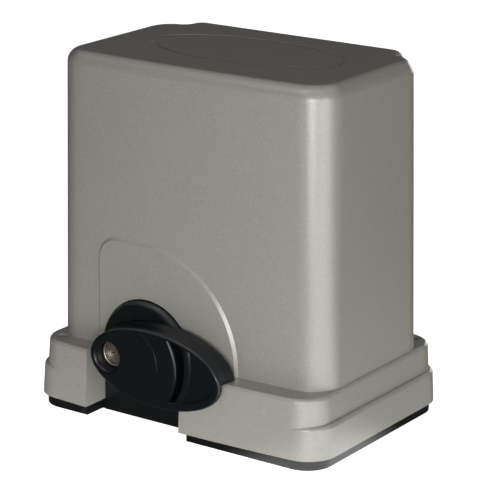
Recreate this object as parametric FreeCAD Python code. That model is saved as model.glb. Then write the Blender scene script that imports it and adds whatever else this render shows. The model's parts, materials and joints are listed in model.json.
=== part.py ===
import FreeCAD, Part
import math
import os

# Sliding gate motor.
# X runs to the right along the front, Y to the rear where the pinion is, Z up.
# The origin is the centre of the foot's underside. All sizes are in millimetres.

V = FreeCAD.Vector

# ---------------------------------------------------------------- sizes: foot and cover
foot_half_x = 140.4
foot_half_y = 94.1
foot_corner = 22.7
foot_height = 9.0
foot_notch_side = 2.6          # how far the foot's notch stands outside the cover's notch
foot_notch_depth = 20.6

cover_height = 301.0
cover_wall = 3.0
cover_half_x = 135.0           # box part, at the ledge
cover_front_y = -78.9          # middle of the bowed front, at the ledge
cover_rear_y = 79.1
cover_corner = 27.0
cover_bow_radius = 2010.0
cover_draft = 0.825            # degrees
cover_top_round = 11.0

bulge_half_x = 101.0           # the deeper middle of the cover's rear
bulge_rear_y = 97.0
bulge_round = 12.5
bulge_hollow = 4.5

ledge_z = 58.3
skirt_half_x = 140.4
skirt_front_y = -101.4
skirt_rear_y = 96.4
skirt_corner = 25.8
skirt_bow_radius = 1660.0
skirt_draft = 3.0              # degrees
skirt_round = 3.0
band_half_x = 144.5            # thicker band round the skirt's ends
band_height = 27.0
lip_width = 8.0                # inner rim that rests on the foot
lip_height = 3.0

oval_half_x = 90.0             # shallow oval in the cover's top
oval_half_y = 45.0
oval_depth = 0.8

panel_height = 1.6             # raised panel that the handle sweeps
panel_corner = 20.0
panel_foot = 2.6               # how much wider the panel is at its root

screw_recess_radius = 4.9
screw_recess_depth = 6.0
cover_boss_radius = 7.5
cover_screw_radius = 2.4
cover_screw_head_radius = 4.3
cover_screw_head_height = 3.0
cover_screw_grip = 6.0
cover_screw_hole_gap = 0.3
front_screw_inset_x = 17.0     # front left screw, in from the skirt's side
front_screw_inset_y = 21.9
rear_screw_inset_x = 20.4      # rear right screw
rear_screw_inset_y = 10.4
oval_shift_y = 3.0             # from the middle of the cover's top to the oval's

# ---------------------------------------------------------------- sizes: drive line
shaft_x = -34.0
shaft_z = 61.0
shaft_radius = 10.0
shaft_nose_radius = 8.5
running_gap = 0.05             # radial, between a shaft and what turns on it
seat_gap = 0.02                # radial, between a bearing and its seat

module_worm = 2.5
wheel_teeth = 31
wheel_width = 16.0
worm_pitch_radius = 11.0
worm_length = 42.0
mesh_backlash = 0.35
wheel_hub_radius = 20.0
wheel_hub_front = -14.0
wheel_hub_rear = 12.0
wheel_bush_wall = 3.0

dog_count = 3
dog_height = 4.0
dog_inner_radius = 14.0
dog_angle = 56.0               # degrees, of each dog
dog_play = 1.5                 # degrees, on each side of a dog
dog_gap = 0.3
sleeve_length = 8.0
cam_lift = 5.0

case_wall = 7.5
case_bore_gap = 1.25           # between the wheel's tips and the case
case_rear_y = 34.0
case_inner_wall_y = -18.0
front_bearing_y = -28.0
front_bearing_width = 10.0
front_bearing_radius = 17.5
rear_bearing_y = 76.0
rear_bearing_width = 12.0
rear_bearing_radius = 21.0
seal_radius = 17.5
seal_y = 89.5
seal_width = 7.0
neck_radius = 26.0
neck_end_y = 97.0
rear_cover_plate = 8.0
rear_cover_spigot = 4.0
rear_screw_count = 6
rear_screw_radius = 2.0
rear_screw_head_radius = 3.5
rear_screw_head_height = 3.5
rear_screw_length = 13.0
rear_screw_sink = 2.5          # how deep the screw's seat lies in the plate
lid_rib_thickness = 4.0
lid_rib_height = 18.0
column_rib_thickness = 6.0
column_rib_reach = 22.0
column_rib_height = 24.0

spacer_y = 38.0
spacer_flange = 2.0
spacer_flange_radius = 17.0
spacer_radius = 13.0
spring_wire = 1.0
spring_turns = 3.0

pinion_module = 4.0
pinion_teeth = 16
pinion_width = 26.0
pinion_y = 101.0
key_width = 6.0
key_length = 20.0
key_depth = 3.0                # of the keyway in the shaft
key_height = 5.6
pinion_washer_thickness = 3.0
pinion_washer_radius = 16.0
pinion_screw_radius = 2.9
pinion_screw_length = 18.0
pinion_screw_head_radius = 6.5
pinion_screw_head_height = 5.0

# ---------------------------------------------------------------- sizes: release
boss_radius = 44.5
boss_round = 6.0
boss_face_y = -85.5
arch_gap = 0.9
apron_y = -74.0
apron_thickness = 8.0
apron_top_z = 48.0             # the apron fills the notch's width up to here
pier_thickness = 9.0           # rear wall under the shaft's neck
notch_half = 48.6
notch_shift_x = -1.2           # from the shaft to the middle of the notch
well_radius = 59.6             # the notch widens to this behind the handle
well_low_z = 33.0
handle_gap = 0.5
handle_front_y = -106.4        # top of the hub's domed face
handle_shift_x = 26.0          # from the pivot to the middle of the handle
handle_shift_z = -2.0
handle_half_length = 65.5
handle_half_height = 32.0
handle_tilt = -2.5             # degrees
handle_spread = 1.5            # how much larger the handle is at its back
handle_waist_y = -95.0         # the side wall is straight to here and flares behind it
handle_lip = 2.0               # width of the straight edge along the back
handle_round = 3.5
handle_web_y = -102.4          # back of the thin web that passes the skirt
handle_square_y = -95.0       # bottom of the square hole for the spindle
handle_dome = 0.5              # how far the hub's face rises above the rim
handle_hub_radius = 48.2
hub_edge_round = 1.5
dish_floor_y = -103.9
dish_rim = 5.5                 # the dish lies inside the handle's edge by this,
dish_rise = 2.0                # and this much higher, so the rim is wider below
groove_x = -36.0               # round groove between the hub and the dish's lip
groove_z = 68.0
groove_radius = 58.2
groove_floor_y = -92.5
groove_lip_round = 3.0
handle_deep_radius = 59.0      # full depth inside this, also below the ledge
handle_well_gap = 0.7
face_ridge_radius = 30.0
face_ridge_height = 0.3
face_ridge_width = 1.0
face_ridge_angles = (-14.0, 62.0)
turn_angle = 90.0

chamber_radius = 16.8
chamber_front_y = -57.5
spindle_radius = 9.0
spindle_flange_radius = 16.4
spindle_flange_y = -57.0
cam_face_y = -46.0
cam_ball_radius = 2.5
cam_ball_circle = 10.5
cam_ball_angles = (90, 270)
cam_gap = 0.3
follower_y = -45.4
follower_thickness = 5.0
follower_ear = 19.2
follower_ear_width = 5.0
rod_radius = 3.9
spigot_radius = 12.0
square_half = 5.0

lock_dx = -21.7
lock_dz = 0.1
lock_recess_radius = 13.5
lock_recess_round = 1.5
lock_recess_y = -92.5
lock_ring_radius = 11.4
lock_ring_round = 1.2
lock_barrel_radius = 9.3
lock_plug_radius = 7.0
lock_head_radius = 9.0         # the plug's head, inside the ring
lock_head_thickness = 1.8
lock_head_gap = 0.35
lock_tail_radius = 4.0
lock_front_y = -96.3
lock_cam_y = -84.2
lock_cam_thickness = 2.4
lock_cam_reach = 13.0
lock_cam_width = 7.0
race_radius = 29.5             # round recess in the boss that the lock cam runs in
race_depth = 5.5
race_notch_radius = 36.0
race_notch_gap = 1.2
lock_cam_gap = 0.8             # round the lock cam's quarter turn

# ---------------------------------------------------------------- sizes: motor and electrics
worm_bore_radius = 18.0
worm_column_radius = 26.0
worm_bottom_y = 12.0
lower_bearing_width = 11.0
lower_bearing_radius = 17.5
lower_journal_radius = 7.5
upper_bearing_z = 100.0
upper_bearing_width = 12.0
upper_bearing_radius = 20.0
upper_journal_radius = 8.5
case_top_z = 118.0
case_flange_radius = 41.0
case_flange_thickness = 8.0
flange_bolt_circle = 33.0

motor_radius = 58.0
motor_wall = 4.0
shield_overlap = 2.0
lower_shield_height = 34.0
stator_radius = 55.0
stator_bore = 31.0
stator_length = 58.0
upper_shield_height = 42.0
winding_height = 15.0
air_gap = 0.5
rotor_shaft_radius = 10.0
motor_bolt_circle = 62.5
motor_bolt_radius = 2.5
motor_bolt_head_radius = 4.2
motor_bolt_head_height = 4.0
motor_ear = 3.0
motor_ear_height = 8.0
motor_top_round = 6.0
motor_floor = 5.0
flange_screw_radius = 2.45
flange_screw_head_radius = 4.2
flange_screw_head_height = 5.0
top_bearing_width = 11.0
stator_slots = 12
stator_slot_circle = 38.0
stator_slot_radius = 4.5
winding_outer = 50.0
winding_inner = 33.0
winding_chamfer = 4.0
rotor_ring_height = 7.0

slot_spacing_x = 210.0
slot_spacing_y = 110.0
slot_length = 24.0
slot_width = 11.0
cable_hole_x = 74.0
cable_hole_y = 62.0
cable_hole_radius = 12.0
grommet_wall = 3.0

bracket_x = -100.0
sheet = 1.5
bracket_half_y = 40.0
bracket_top_z = 252.0
board_half_y = 38.0
board_bottom_z = 112.0
board_top_z = 250.0
board_standoff = 6.0
board_thickness = 1.6
bracket_tab = 20.0
bracket_tab_inset = 8.0
bracket_flange = 10.0
bracket_flange_z = 29.0
bracket_window_radius = 18.0
bracket_window_z = 69.0
bracket_screw_radius = 2.2
bracket_screw_head_radius = 4.0
bracket_screw_head_height = 3.0
bracket_screw_grip = 5.0
bracket_screw_inset = 18.0
standoff_radius = 3.0
standoff_inset = 6.0
relay_count = 3
relay_depth = 15.0
relay_width = 17.0
relay_height = 26.0
relay_spacing = 21.0
relay_inset_y = 8.0
relay_inset_z = 16.0
terminal_blocks_count = 2
terminal_block_depth = 11.0
terminal_block_height = 10.0
terminal_block_spacing = 36.0
terminal_inset = 4.0
terminal_ways = 6
terminal_pitch = 5.0
terminal_hole_radius = 1.6
terminal_hole_depth = 5.0
processor_depth = 4.0
processor_half_y = 12.0
processor_z = 156.0
processor_height = 32.0
transformer_depth = 38.0
transformer_half_y = 26.0
transformer_z = 128.0
transformer_height = 44.0
coil_inset = 5.0
coil_half_y = 15.0
coil_overhang = 8.0

capacitor_x = 104.0
capacitor_y = 0.0
capacitor_radius = 17.5
capacitor_length = 78.0
capacitor_chamfer = 2.0
capacitor_tag_width = 6.0
capacitor_tag_offset = 3.0
capacitor_tag_thickness = 0.8
capacitor_tag_height = 8.0
clamp_z = 29.0
clamp_width = 12.0
clamp_tab = 13.0

sensor_inset = 19.5            # from the bulge's side to the middle of the limit sensor
sensor_half_x = 10.0
sensor_depth = 10.0
sensor_z = 110.0
sensor_height = 48.0
sensor_chamfer = 1.5
sensor_strip_half_x = 8.0
sensor_strip_top_z = 160.0
sensor_strip_back = 1.0        # how far the strip stands in front of the cover's rear line
sensor_tab = 14.0


# ---------------------------------------------------------------- helpers
def box(x0, x1, y0, y1, z0, z1):
    return Part.makeBox(x1 - x0, y1 - y0, z1 - z0, V(x0, y0, z0))


def rod_y(x, z, radius, y0, y1):
    return Part.makeCylinder(radius, y1 - y0, V(x, y0, z), V(0, 1, 0))


def rod_z(x, y, radius, z0, z1):
    return Part.makeCylinder(radius, z1 - z0, V(x, y, z0), V(0, 0, 1))


def rod_x(y, z, radius, x0, x1):
    return Part.makeCylinder(radius, x1 - x0, V(x0, y, z), V(1, 0, 0))


def ring_y(x, z, outer, inner, y0, y1):
    return rod_y(x, z, outer, y0, y1).cut(rod_y(x, z, inner, y0, y1))


def ring_z(x, y, outer, inner, z0, z1):
    return rod_z(x, y, outer, z0, z1).cut(rod_z(x, y, inner, z0, z1))


def fuse(shapes):
    shapes = list(shapes)
    joined = shapes[0]
    if len(shapes) > 1:
        joined = joined.multiFuse(shapes[1:])
    return joined.removeSplitter()


def prism(wire, direction):
    return Part.Face(wire).extrude(direction)


def front_on(shape):
    """Stands a flat drawing up so that it faces the front: (u, v, w) goes to (u, -w, v)."""
    turned = shape.copy()
    turned.rotate(V(0, 0, 0), V(1, 0, 0), 90)
    return turned


def around_shaft(shape, angle):
    """Turns a shape about the output shaft, anticlockwise as seen from the front."""
    turned = shape.copy()
    turned.rotate(V(shaft_x, 0, shaft_z), V(0, -1, 0), angle)
    return turned


def round_edges(shape, radius, chosen):
    """Rounds the edges for which chosen(edge) is true."""
    return shape.makeFillet(radius, [edge for edge in shape.Edges if chosen(edge)])


def bevel_edges(shape, size, chosen):
    """Bevels the edges for which chosen(edge) is true."""
    return shape.makeChamfer(size, [edge for edge in shape.Edges if chosen(edge)])


def at_height(z):
    def chosen(edge):
        return all(abs(vertex.Point.z - z) < 1e-4 for vertex in edge.Vertexes)
    return chosen


def arc(start, middle, end):
    return Part.Arc(start, middle, end).toShape()


def arc_about(cx, cy, z, radius, first, last):
    """Arc about a centre, from one direction to another, in degrees."""
    def at(angle):
        turn = math.radians(angle)
        return V(cx + radius * math.cos(turn), cy + radius * math.sin(turn), z)
    return arc(at(first), at((first + last) / 2.0), at(last))


def chain(edges):
    """Closes a list of arcs with straight lines between their ends."""
    full = []
    for index, edge in enumerate(edges):
        following = edges[(index + 1) % len(edges)]
        full.append(edge)
        start = edge.lastVertex(True).Point
        end = following.firstVertex(True).Point
        if start.distanceToPoint(end) > 1e-6:
            full.append(Part.makeLine(start, end))
    return Part.Wire(full)


def bowed_section(z, half_x, front_y, rear_y, corner, bow_radius, bulge=None):
    """Rounded rectangle whose front bows out; bulge deepens the middle of its rear."""
    cx = half_x - corner
    lean = math.degrees(math.asin(cx / (bow_radius - corner)))
    cy = front_y + bow_radius - math.sqrt((bow_radius - corner) ** 2 - cx ** 2)
    front_centre = front_y + bow_radius
    edges = [
        arc_about(0, front_centre, z, bow_radius, -90 - lean, -90 + lean),
        arc_about(cx, cy, z, corner, -90 + lean, 0),
        arc_about(cx, rear_y - corner, z, corner, 0, 90),
    ]
    if bulge:
        bulge_x, bulge_y, convex, concave = bulge
        inner_x = bulge_x + concave
        edges += [
            arc_about(inner_x, rear_y + concave, z, concave, 270, 180),
            arc_about(bulge_x - convex, bulge_y - convex, z, convex, 0, 90),
            arc_about(convex - bulge_x, bulge_y - convex, z, convex, 90, 180),
            arc_about(-inner_x, rear_y + concave, z, concave, 0, -90),
        ]
    edges += [
        arc_about(-cx, rear_y - corner, z, corner, 90, 180),
        arc_about(-cx, cy, z, corner, 180, 270 - lean),
    ]
    return chain(edges)


def cover_section(z, inset):
    shift = (z - ledge_z) * math.tan(math.radians(cover_draft)) + inset
    bulge = (bulge_half_x - shift, bulge_rear_y - shift, bulge_round - inset, bulge_hollow + inset)
    return bowed_section(z, cover_half_x - shift, cover_front_y + shift, cover_rear_y - shift,
                         cover_corner - inset, cover_bow_radius - inset, bulge)


def skirt_section(z, half_x, inset):
    shift = (z - foot_height) * math.tan(math.radians(skirt_draft)) + inset
    return bowed_section(z, half_x - shift, skirt_front_y + shift, skirt_rear_y - inset,
                         skirt_corner - inset, skirt_bow_radius - inset)


def block_between(low, high):
    return Part.makeLoft([low, high], True, True)


def involute_gear(module, teeth, width, backlash, helix_shift=0.0, pressure=20.0):
    """Spur or slightly helical gear along +Y about the origin, with a tooth centred on +X."""
    pitch = module * teeth / 2.0
    base = pitch * math.cos(math.radians(pressure))
    tip = pitch + module
    root = pitch - 1.25 * module

    def involute_angle(radius):
        if radius <= base:
            return 0.0
        roll = math.sqrt((radius / base) ** 2 - 1.0)
        return roll - math.atan(roll)

    half_tooth = (math.pi * module / 2.0 - backlash) / (2.0 * pitch) + involute_angle(pitch)

    def flank_point(radius, side, centre):
        angle = centre + side * (half_tooth - involute_angle(radius))
        return V(radius * math.cos(angle), radius * math.sin(angle), 0)

    def outline(turn):
        edges = []
        step = 2.0 * math.pi / teeth
        start_radius = max(base, root)
        radii = [start_radius + (tip - start_radius) * share for share in (0.0, 0.35, 0.7, 1.0)]
        for index in range(teeth):
            centre = index * step + turn
            rising = [flank_point(radius, -1, centre) for radius in radii]
            falling = [flank_point(radius, 1, centre) for radius in reversed(radii)]
            following = flank_point(radii[0], -1, centre + step)
            for points in (rising, falling):
                curve = Part.BSplineCurve()
                curve.interpolate(points)
                if points is falling:
                    tip_middle = V(tip * math.cos(centre), tip * math.sin(centre), 0)
                    edges.append(arc(rising[-1], tip_middle, falling[0]))
                edges.append(curve.toShape())
            gap_angle = centre + step / 2.0
            root_middle = V(root * math.cos(gap_angle), root * math.sin(gap_angle), 0)
            edges.append(arc(falling[-1], root_middle, following))
        return Part.Wire(edges)

    low = outline(helix_shift / (2.0 * pitch))
    high = outline(-helix_shift / (2.0 * pitch))
    high.translate(V(0, 0, -width))
    gear = block_between(low, high) if helix_shift else prism(low, V(0, 0, -width))
    return front_on(gear)


def on_shaft(shape, y):
    """Moves a shape drawn about the Y axis on to the output shaft."""
    moved = shape.copy()
    moved.translate(V(shaft_x, y, shaft_z))
    return moved


def shielded_bearing(outer, inner, width):
    """Ball bearing with its two shields, along +Z from the origin."""
    body = ring_z(0, 0, outer, inner, 0, width)
    race = (outer - inner) * 0.22
    for bottom in (-1.0, width - 0.6):
        body = body.cut(ring_z(0, 0, outer - race, inner + race, bottom, bottom + 1.6))
    return body


def laid_along_y(shape):
    """Turns a shape drawn along +Z so that it runs along +Y."""
    turned = shape.copy()
    turned.rotate(V(0, 0, 0), V(1, 0, 0), -90)
    return turned


def socket_screw(radius, length, head_radius, head_height):
    """Cap screw along -Z with its head's underside at the origin."""
    head = rod_z(0, 0, head_radius, 0, head_height)
    head = head.cut(hexagon(head_radius * 0.52, head_height * 0.45, head_height + 1))
    return head.fuse(rod_z(0, 0, radius, -length, 0))


def solid_of(shell):
    """Solid inside a swept shell, facing outwards."""
    solid = Part.Solid(shell) if shell.ShapeType == "Shell" else shell
    if solid.Volume < 0:
        solid.reverse()
    return solid


def hexagon(radius, z0, z1):
    return prism(Part.makePolygon([V(radius * math.cos(math.radians(60 * side)),
                                     radius * math.sin(math.radians(60 * side)), z0)
                                   for side in range(7)]), V(0, 0, z1 - z0))


def placed(shape, x, y, z):
    moved = shape.copy()
    moved.translate(V(x, y, z))
    return moved


# ---------------------------------------------------------------- places worked out from the sizes
wheel_pitch_radius = module_worm * wheel_teeth / 2.0
wheel_tip_radius = wheel_pitch_radius + module_worm
worm_x = shaft_x + wheel_pitch_radius + worm_pitch_radius
worm_tip_radius = worm_pitch_radius + module_worm
worm_root_radius = worm_pitch_radius - 1.25 * module_worm
worm_pitch = math.pi * module_worm
case_bore_radius = wheel_tip_radius + case_bore_gap
case_radius = case_bore_radius + case_wall
handle_back_y = boss_face_y - handle_gap
handle_x = shaft_x + handle_shift_x
handle_z = shaft_z + handle_shift_z
lock_x = shaft_x + lock_dx
lock_z = shaft_z + lock_dz
sleeve_y = wheel_hub_rear + dog_height + dog_gap
sleeve_end_y = sleeve_y + sleeve_length
pin_y = sleeve_y + sleeve_length / 2.0
pinion_end_y = pinion_y + pinion_width
stator_z = case_top_z + lower_shield_height - shield_overlap
stator_top_z = stator_z + stator_length
upper_shield_z = stator_top_z - shield_overlap
motor_top_z = upper_shield_z + upper_shield_height
top_bearing_z = motor_top_z - motor_wall - top_bearing_width - 2.0
sweep_radius = abs(handle_shift_x) + handle_half_length + handle_spread
notch_left_x = shaft_x + notch_shift_x - notch_half
notch_right_x = shaft_x + notch_shift_x + notch_half
handle_rim_y = handle_front_y + handle_dome
lock_seat_y = lock_front_y + lock_head_thickness
cover_screw_places = [(front_screw_inset_x - skirt_half_x, skirt_front_y + front_screw_inset_y),
                      (skirt_half_x - rear_screw_inset_x, skirt_rear_y - rear_screw_inset_y)]
cover_screw_seat_z = ledge_z - screw_recess_depth


# ---------------------------------------------------------------- cover
def cover_solid(inset):
    top = cover_height - inset
    low_z = foot_height + 10.0 if inset == 0 else foot_height - 1.0
    body = block_between(cover_section(low_z, inset), cover_section(top, inset))
    return round_edges(body, cover_top_round - inset, at_height(top))


def skirt_solid(inset):
    top = ledge_z - inset
    low = foot_height if inset == 0 else foot_height - 1.0
    body = block_between(skirt_section(low, skirt_half_x, inset),
                         skirt_section(top, skirt_half_x, inset))
    if inset == 0:
        body = round_edges(body, skirt_round, at_height(top))
    return body


def band_solid():
    top = foot_height + band_height
    body = block_between(skirt_section(foot_height, band_half_x, 0), skirt_section(top, band_half_x, 0))
    return round_edges(body, skirt_round, at_height(top))


def panel_outline(spread, depth):
    """Left edge, top edge and the sweep of the handle's tip, grown by spread."""
    left = notch_left_x - spread
    low = ledge_z - 4.0
    radius = sweep_radius + spread
    top = shaft_z + radius
    corner = panel_corner + spread
    right_low = math.degrees(math.asin((low - shaft_z) / radius))
    return chain([
        arc_about(shaft_x, shaft_z, -depth, radius, right_low, 90),
        arc_about(left + corner, top - corner, -depth, corner, 90, 180),
        Part.makeLine(V(left, low + 1.0, -depth), V(left, low, -depth)),
    ])


def panel_solid():
    """Raised panel that follows the bowed front and is chamfered all round."""
    deep = panel_outline(panel_foot, cover_front_y + 8.0)
    proud = panel_outline(0.0, cover_front_y - panel_height)
    slab = front_on(block_between(deep, proud))
    skin_low = cover_section(ledge_z - 4.0, -panel_height)
    skin_high = cover_section(cover_height / 1.5, -panel_height)
    return slab.common(block_between(skin_low, skin_high))


def notch_block(spread):
    """Space of the cover's front notch, with the rounded well that the handle's back turns in."""
    notch = box(notch_left_x - spread, notch_right_x + spread, skirt_front_y - 20,
                apron_y - arch_gap + spread, foot_height - 1, ledge_z + spread)
    well_floor_y = handle_back_y + handle_well_gap + spread
    well = rod_y(shaft_x, shaft_z, well_radius + spread, skirt_front_y - 20, well_floor_y)
    beside = box(shaft_x, shaft_x + 2 * well_radius, skirt_front_y - 21, well_floor_y + 1,
                 well_low_z - spread, ledge_z + spread)
    return notch.fuse(well.common(beside))


def arch_block():
    gap = arch_gap
    hole = rod_y(shaft_x, shaft_z, boss_radius + gap, skirt_front_y - 20, apron_y + 10)
    legs = box(shaft_x - boss_radius - gap, shaft_x + boss_radius + gap, skirt_front_y - 20,
               apron_y + 10, foot_height - 1, shaft_z)
    behind_notch = box(notch_left_x, notch_right_x, skirt_front_y - 20, apron_y + 10, foot_height - 1,
                       apron_top_z + gap)
    return fuse([hole, legs, behind_notch])


def rear_opening():
    radius = neck_radius + arch_gap
    hole = rod_y(shaft_x, shaft_z, radius, cover_rear_y - 20, bulge_rear_y + 5)
    legs = box(shaft_x - radius, shaft_x + radius, cover_rear_y - 20, bulge_rear_y + 5,
               foot_height - 1, shaft_z)
    return hole.fuse(legs)


def cover_hollow():
    """Everything inside the cover's wall, less the notch's sides, the screw bosses and the lip."""
    hollow = cover_solid(cover_wall).fuse(skirt_solid(cover_wall))
    hollow = hollow.cut(notch_block(cover_wall))
    for x, y in cover_screw_places:
        hollow = hollow.cut(rod_z(x, y, cover_boss_radius, foot_height - 5, ledge_z))
    around = box(-band_half_x, band_half_x, skirt_front_y, skirt_rear_y, foot_height - 5,
                 foot_height + lip_height)
    within = block_between(skirt_section(foot_height - 6, skirt_half_x, lip_width),
                           skirt_section(foot_height + lip_height + 1, skirt_half_x, lip_width))
    return hollow.cut(around.cut(within))


def make_cover():
    outer = fuse([cover_solid(0), skirt_solid(0), band_solid(), panel_solid()])
    shell = outer.cut(cover_hollow())
    shell = shell.cut(notch_block(0)).cut(arch_block()).cut(rear_opening())
    for x, y in cover_screw_places:
        shell = shell.cut(rod_z(x, y, cover_screw_radius + cover_screw_hole_gap, foot_height - 1, ledge_z))
        shell = shell.cut(rod_z(x, y, screw_recess_radius, cover_screw_seat_z, ledge_z + 1))
    oval_y = (cover_front_y + bulge_rear_y) / 2 + oval_shift_y
    oval = Part.Ellipse(V(0, oval_y, cover_height - oval_depth), oval_half_x, oval_half_y)
    return shell.cut(prism(Part.Wire(oval.toShape()), V(0, 0, 5)))


def make_cover_screws():
    length = cover_screw_seat_z - foot_height + cover_screw_grip
    screw = socket_screw(cover_screw_radius, length, cover_screw_head_radius, cover_screw_head_height)
    return Part.makeCompound([placed(screw, x, y, cover_screw_seat_z) for x, y in cover_screw_places])


# ---------------------------------------------------------------- gear housing
def foot_plate():
    low = bowed_section(0, foot_half_x, -foot_half_y, foot_half_y, foot_corner, 90000.0)
    plate = prism(low, V(0, 0, foot_height))
    notch = box(notch_left_x - foot_notch_side, notch_right_x + foot_notch_side, -foot_half_y - 1,
                foot_notch_depth - foot_half_y, -1, foot_height + 1)
    return plate.cut(notch)


def slot(x, y):
    half = (slot_length - slot_width) / 2.0
    ends = [rod_z(x + side * half, y, slot_width / 2.0, -1, foot_height + 1) for side in (-1, 1)]
    middle = box(x - half, x + half, y - slot_width / 2.0, y + slot_width / 2.0, -1, foot_height + 1)
    return fuse(ends + [middle])


def column_rib(angle):
    """Sloping rib from the worm's column down to the foot."""
    reach = worm_column_radius + column_rib_reach
    half = column_rib_thickness / 2.0
    top = foot_height + column_rib_height
    corners = [V(0, -half, 0), V(reach, -half, 0), V(reach, -half, foot_height),
               V(worm_column_radius, -half, top), V(0, -half, top), V(0, -half, 0)]
    rib = prism(Part.makePolygon(corners), V(0, column_rib_thickness, 0))
    rib.rotate(V(0, 0, 0), V(0, 0, 1), angle)
    return placed(rib, worm_x, 0, 0)


def lock_outward():
    """Direction from the shaft's centre to the lock, anticlockwise from the right."""
    return math.degrees(math.atan2(lock_dz, lock_dx))


def lock_cam_room():
    """Room for the lock cam's quarter turn, from along the race to straight outwards."""
    reach = math.hypot(lock_cam_reach, lock_cam_width / 2.0) + lock_cam_gap
    quarter = front_on(Part.makeCylinder(reach, race_depth + 1, V(0, 0, 0), V(0, 0, 1), turn_angle))
    quarter.rotate(V(0, 0, 0), V(0, -1, 0), lock_outward() - turn_angle)
    return placed(quarter, lock_x, boss_face_y + race_depth, lock_z)


def make_gear_housing():
    case = rod_y(shaft_x, shaft_z, case_radius, apron_y + apron_thickness / 2, case_rear_y)
    boss = rod_y(shaft_x, shaft_z, boss_radius, boss_face_y, apron_y + apron_thickness)
    boss = round_edges(boss, boss_round, lambda edge: edge.BoundBox.YMax < boss_face_y + 0.01)
    apron_back_y = apron_y + apron_thickness
    apron = box(notch_left_x + arch_gap, notch_right_x - arch_gap, apron_y, apron_back_y, 0, apron_top_z)
    legs = box(shaft_x - boss_radius, shaft_x + boss_radius, apron_y, apron_back_y, 0, shaft_z)
    saddle = box(shaft_x - boss_radius, shaft_x + boss_radius, apron_back_y, case_rear_y, 0, shaft_z - 20)
    pier = box(shaft_x - neck_radius, shaft_x + neck_radius, foot_half_y - pier_thickness - 1,
               foot_half_y - 1, 0, shaft_z)
    pier = pier.cut(rod_y(shaft_x, shaft_z, neck_radius + seat_gap, 0, bulge_rear_y))
    column = rod_z(worm_x, 0, worm_column_radius, 0, case_top_z)
    top = rod_z(worm_x, 0, case_flange_radius, case_top_z - case_flange_thickness, case_top_z)
    ribs = [column_rib(angle) for angle in (0, 90)]
    housing = fuse([foot_plate(), case, boss, apron, legs, saddle, pier, column, top] + ribs)

    housing = housing.cut(rod_y(shaft_x, shaft_z, case_bore_radius, case_inner_wall_y, case_rear_y + 1))
    housing = housing.cut(rod_y(shaft_x, shaft_z, front_bearing_radius + seat_gap, front_bearing_y,
                                case_inner_wall_y + 1))
    housing = housing.cut(rod_y(shaft_x, shaft_z, chamber_radius, chamber_front_y, front_bearing_y + 1))
    slots_y = (cam_face_y - 2.0, case_inner_wall_y + 1)
    housing = housing.cut(box(shaft_x - follower_ear - 0.4, shaft_x + follower_ear + 0.4,
                              slots_y[0], slots_y[1], shaft_z - follower_ear_width / 2 - 0.2,
                              shaft_z + follower_ear_width / 2 + 0.2))
    housing = housing.cut(rod_y(shaft_x, shaft_z, spindle_radius + running_gap, boss_face_y - 1,
                                chamber_front_y + 1))
    housing = housing.cut(rod_y(shaft_x, shaft_z, race_radius, boss_face_y - 1,
                                boss_face_y + race_depth))
    half_notch = lock_cam_width / 2.0 + race_notch_gap
    race_notch = box(shaft_x, shaft_x + race_notch_radius, boss_face_y - 1, boss_face_y + race_depth,
                     shaft_z - half_notch, shaft_z + half_notch)
    race_notch = around_shaft(race_notch, lock_outward()).fuse(lock_cam_room())
    for turn in (0, turn_angle):
        housing = housing.cut(around_shaft(race_notch, turn))

    housing = housing.cut(rod_z(worm_x, 0, worm_bore_radius, worm_bottom_y + lower_bearing_width,
                                upper_bearing_z + 1))
    housing = housing.cut(rod_z(worm_x, 0, lower_bearing_radius + seat_gap, worm_bottom_y,
                                worm_bottom_y + lower_bearing_width + 1))
    housing = housing.cut(rod_z(worm_x, 0, upper_bearing_radius + seat_gap, upper_bearing_z,
                                case_top_z + 1))
    for x in (-slot_spacing_x / 2, slot_spacing_x / 2):
        for y in (-slot_spacing_y / 2, slot_spacing_y / 2):
            housing = housing.cut(slot(x, y))
    housing = housing.cut(rod_z(cable_hole_x, cable_hole_y, cable_hole_radius, -1, foot_height + 1))
    for x, y in cover_screw_places:
        housing = housing.cut(rod_z(x, y, cover_screw_radius + seat_gap, -1, foot_height + 1))
    for x, y in flange_screw_places():
        housing = housing.cut(rod_z(x, y, flange_screw_radius + seat_gap,
                                    case_top_z - case_flange_thickness - 1, case_top_z + 1))
    for x, z in rear_screw_places():
        depth = rear_screw_length + 1.0 - rear_cover_plate + rear_screw_sink
        housing = housing.cut(rod_y(x, z, rear_screw_radius + seat_gap, case_rear_y - depth,
                                    case_rear_y + 1))
    for y in bracket_screw_ys():
        housing = housing.cut(rod_z(bracket_screw_x(), y, bracket_screw_radius + seat_gap,
                                    foot_height - bracket_screw_grip - 1, foot_height + 1))
    return housing


def flange_screw_places():
    return [(worm_x + flange_bolt_circle * math.cos(math.radians(angle)),
             flange_bolt_circle * math.sin(math.radians(angle))) for angle in (45, 135, 225, 315)]


def rear_screw_places():
    circle = case_bore_radius + case_wall / 2.0
    angles = [math.radians(20 + 360.0 / rear_screw_count * index) for index in range(rear_screw_count)]
    return [(shaft_x + circle * math.cos(angle), shaft_z + circle * math.sin(angle)) for angle in angles]


def rear_screw_seat_y():
    return case_rear_y + rear_cover_plate - rear_screw_sink


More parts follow.
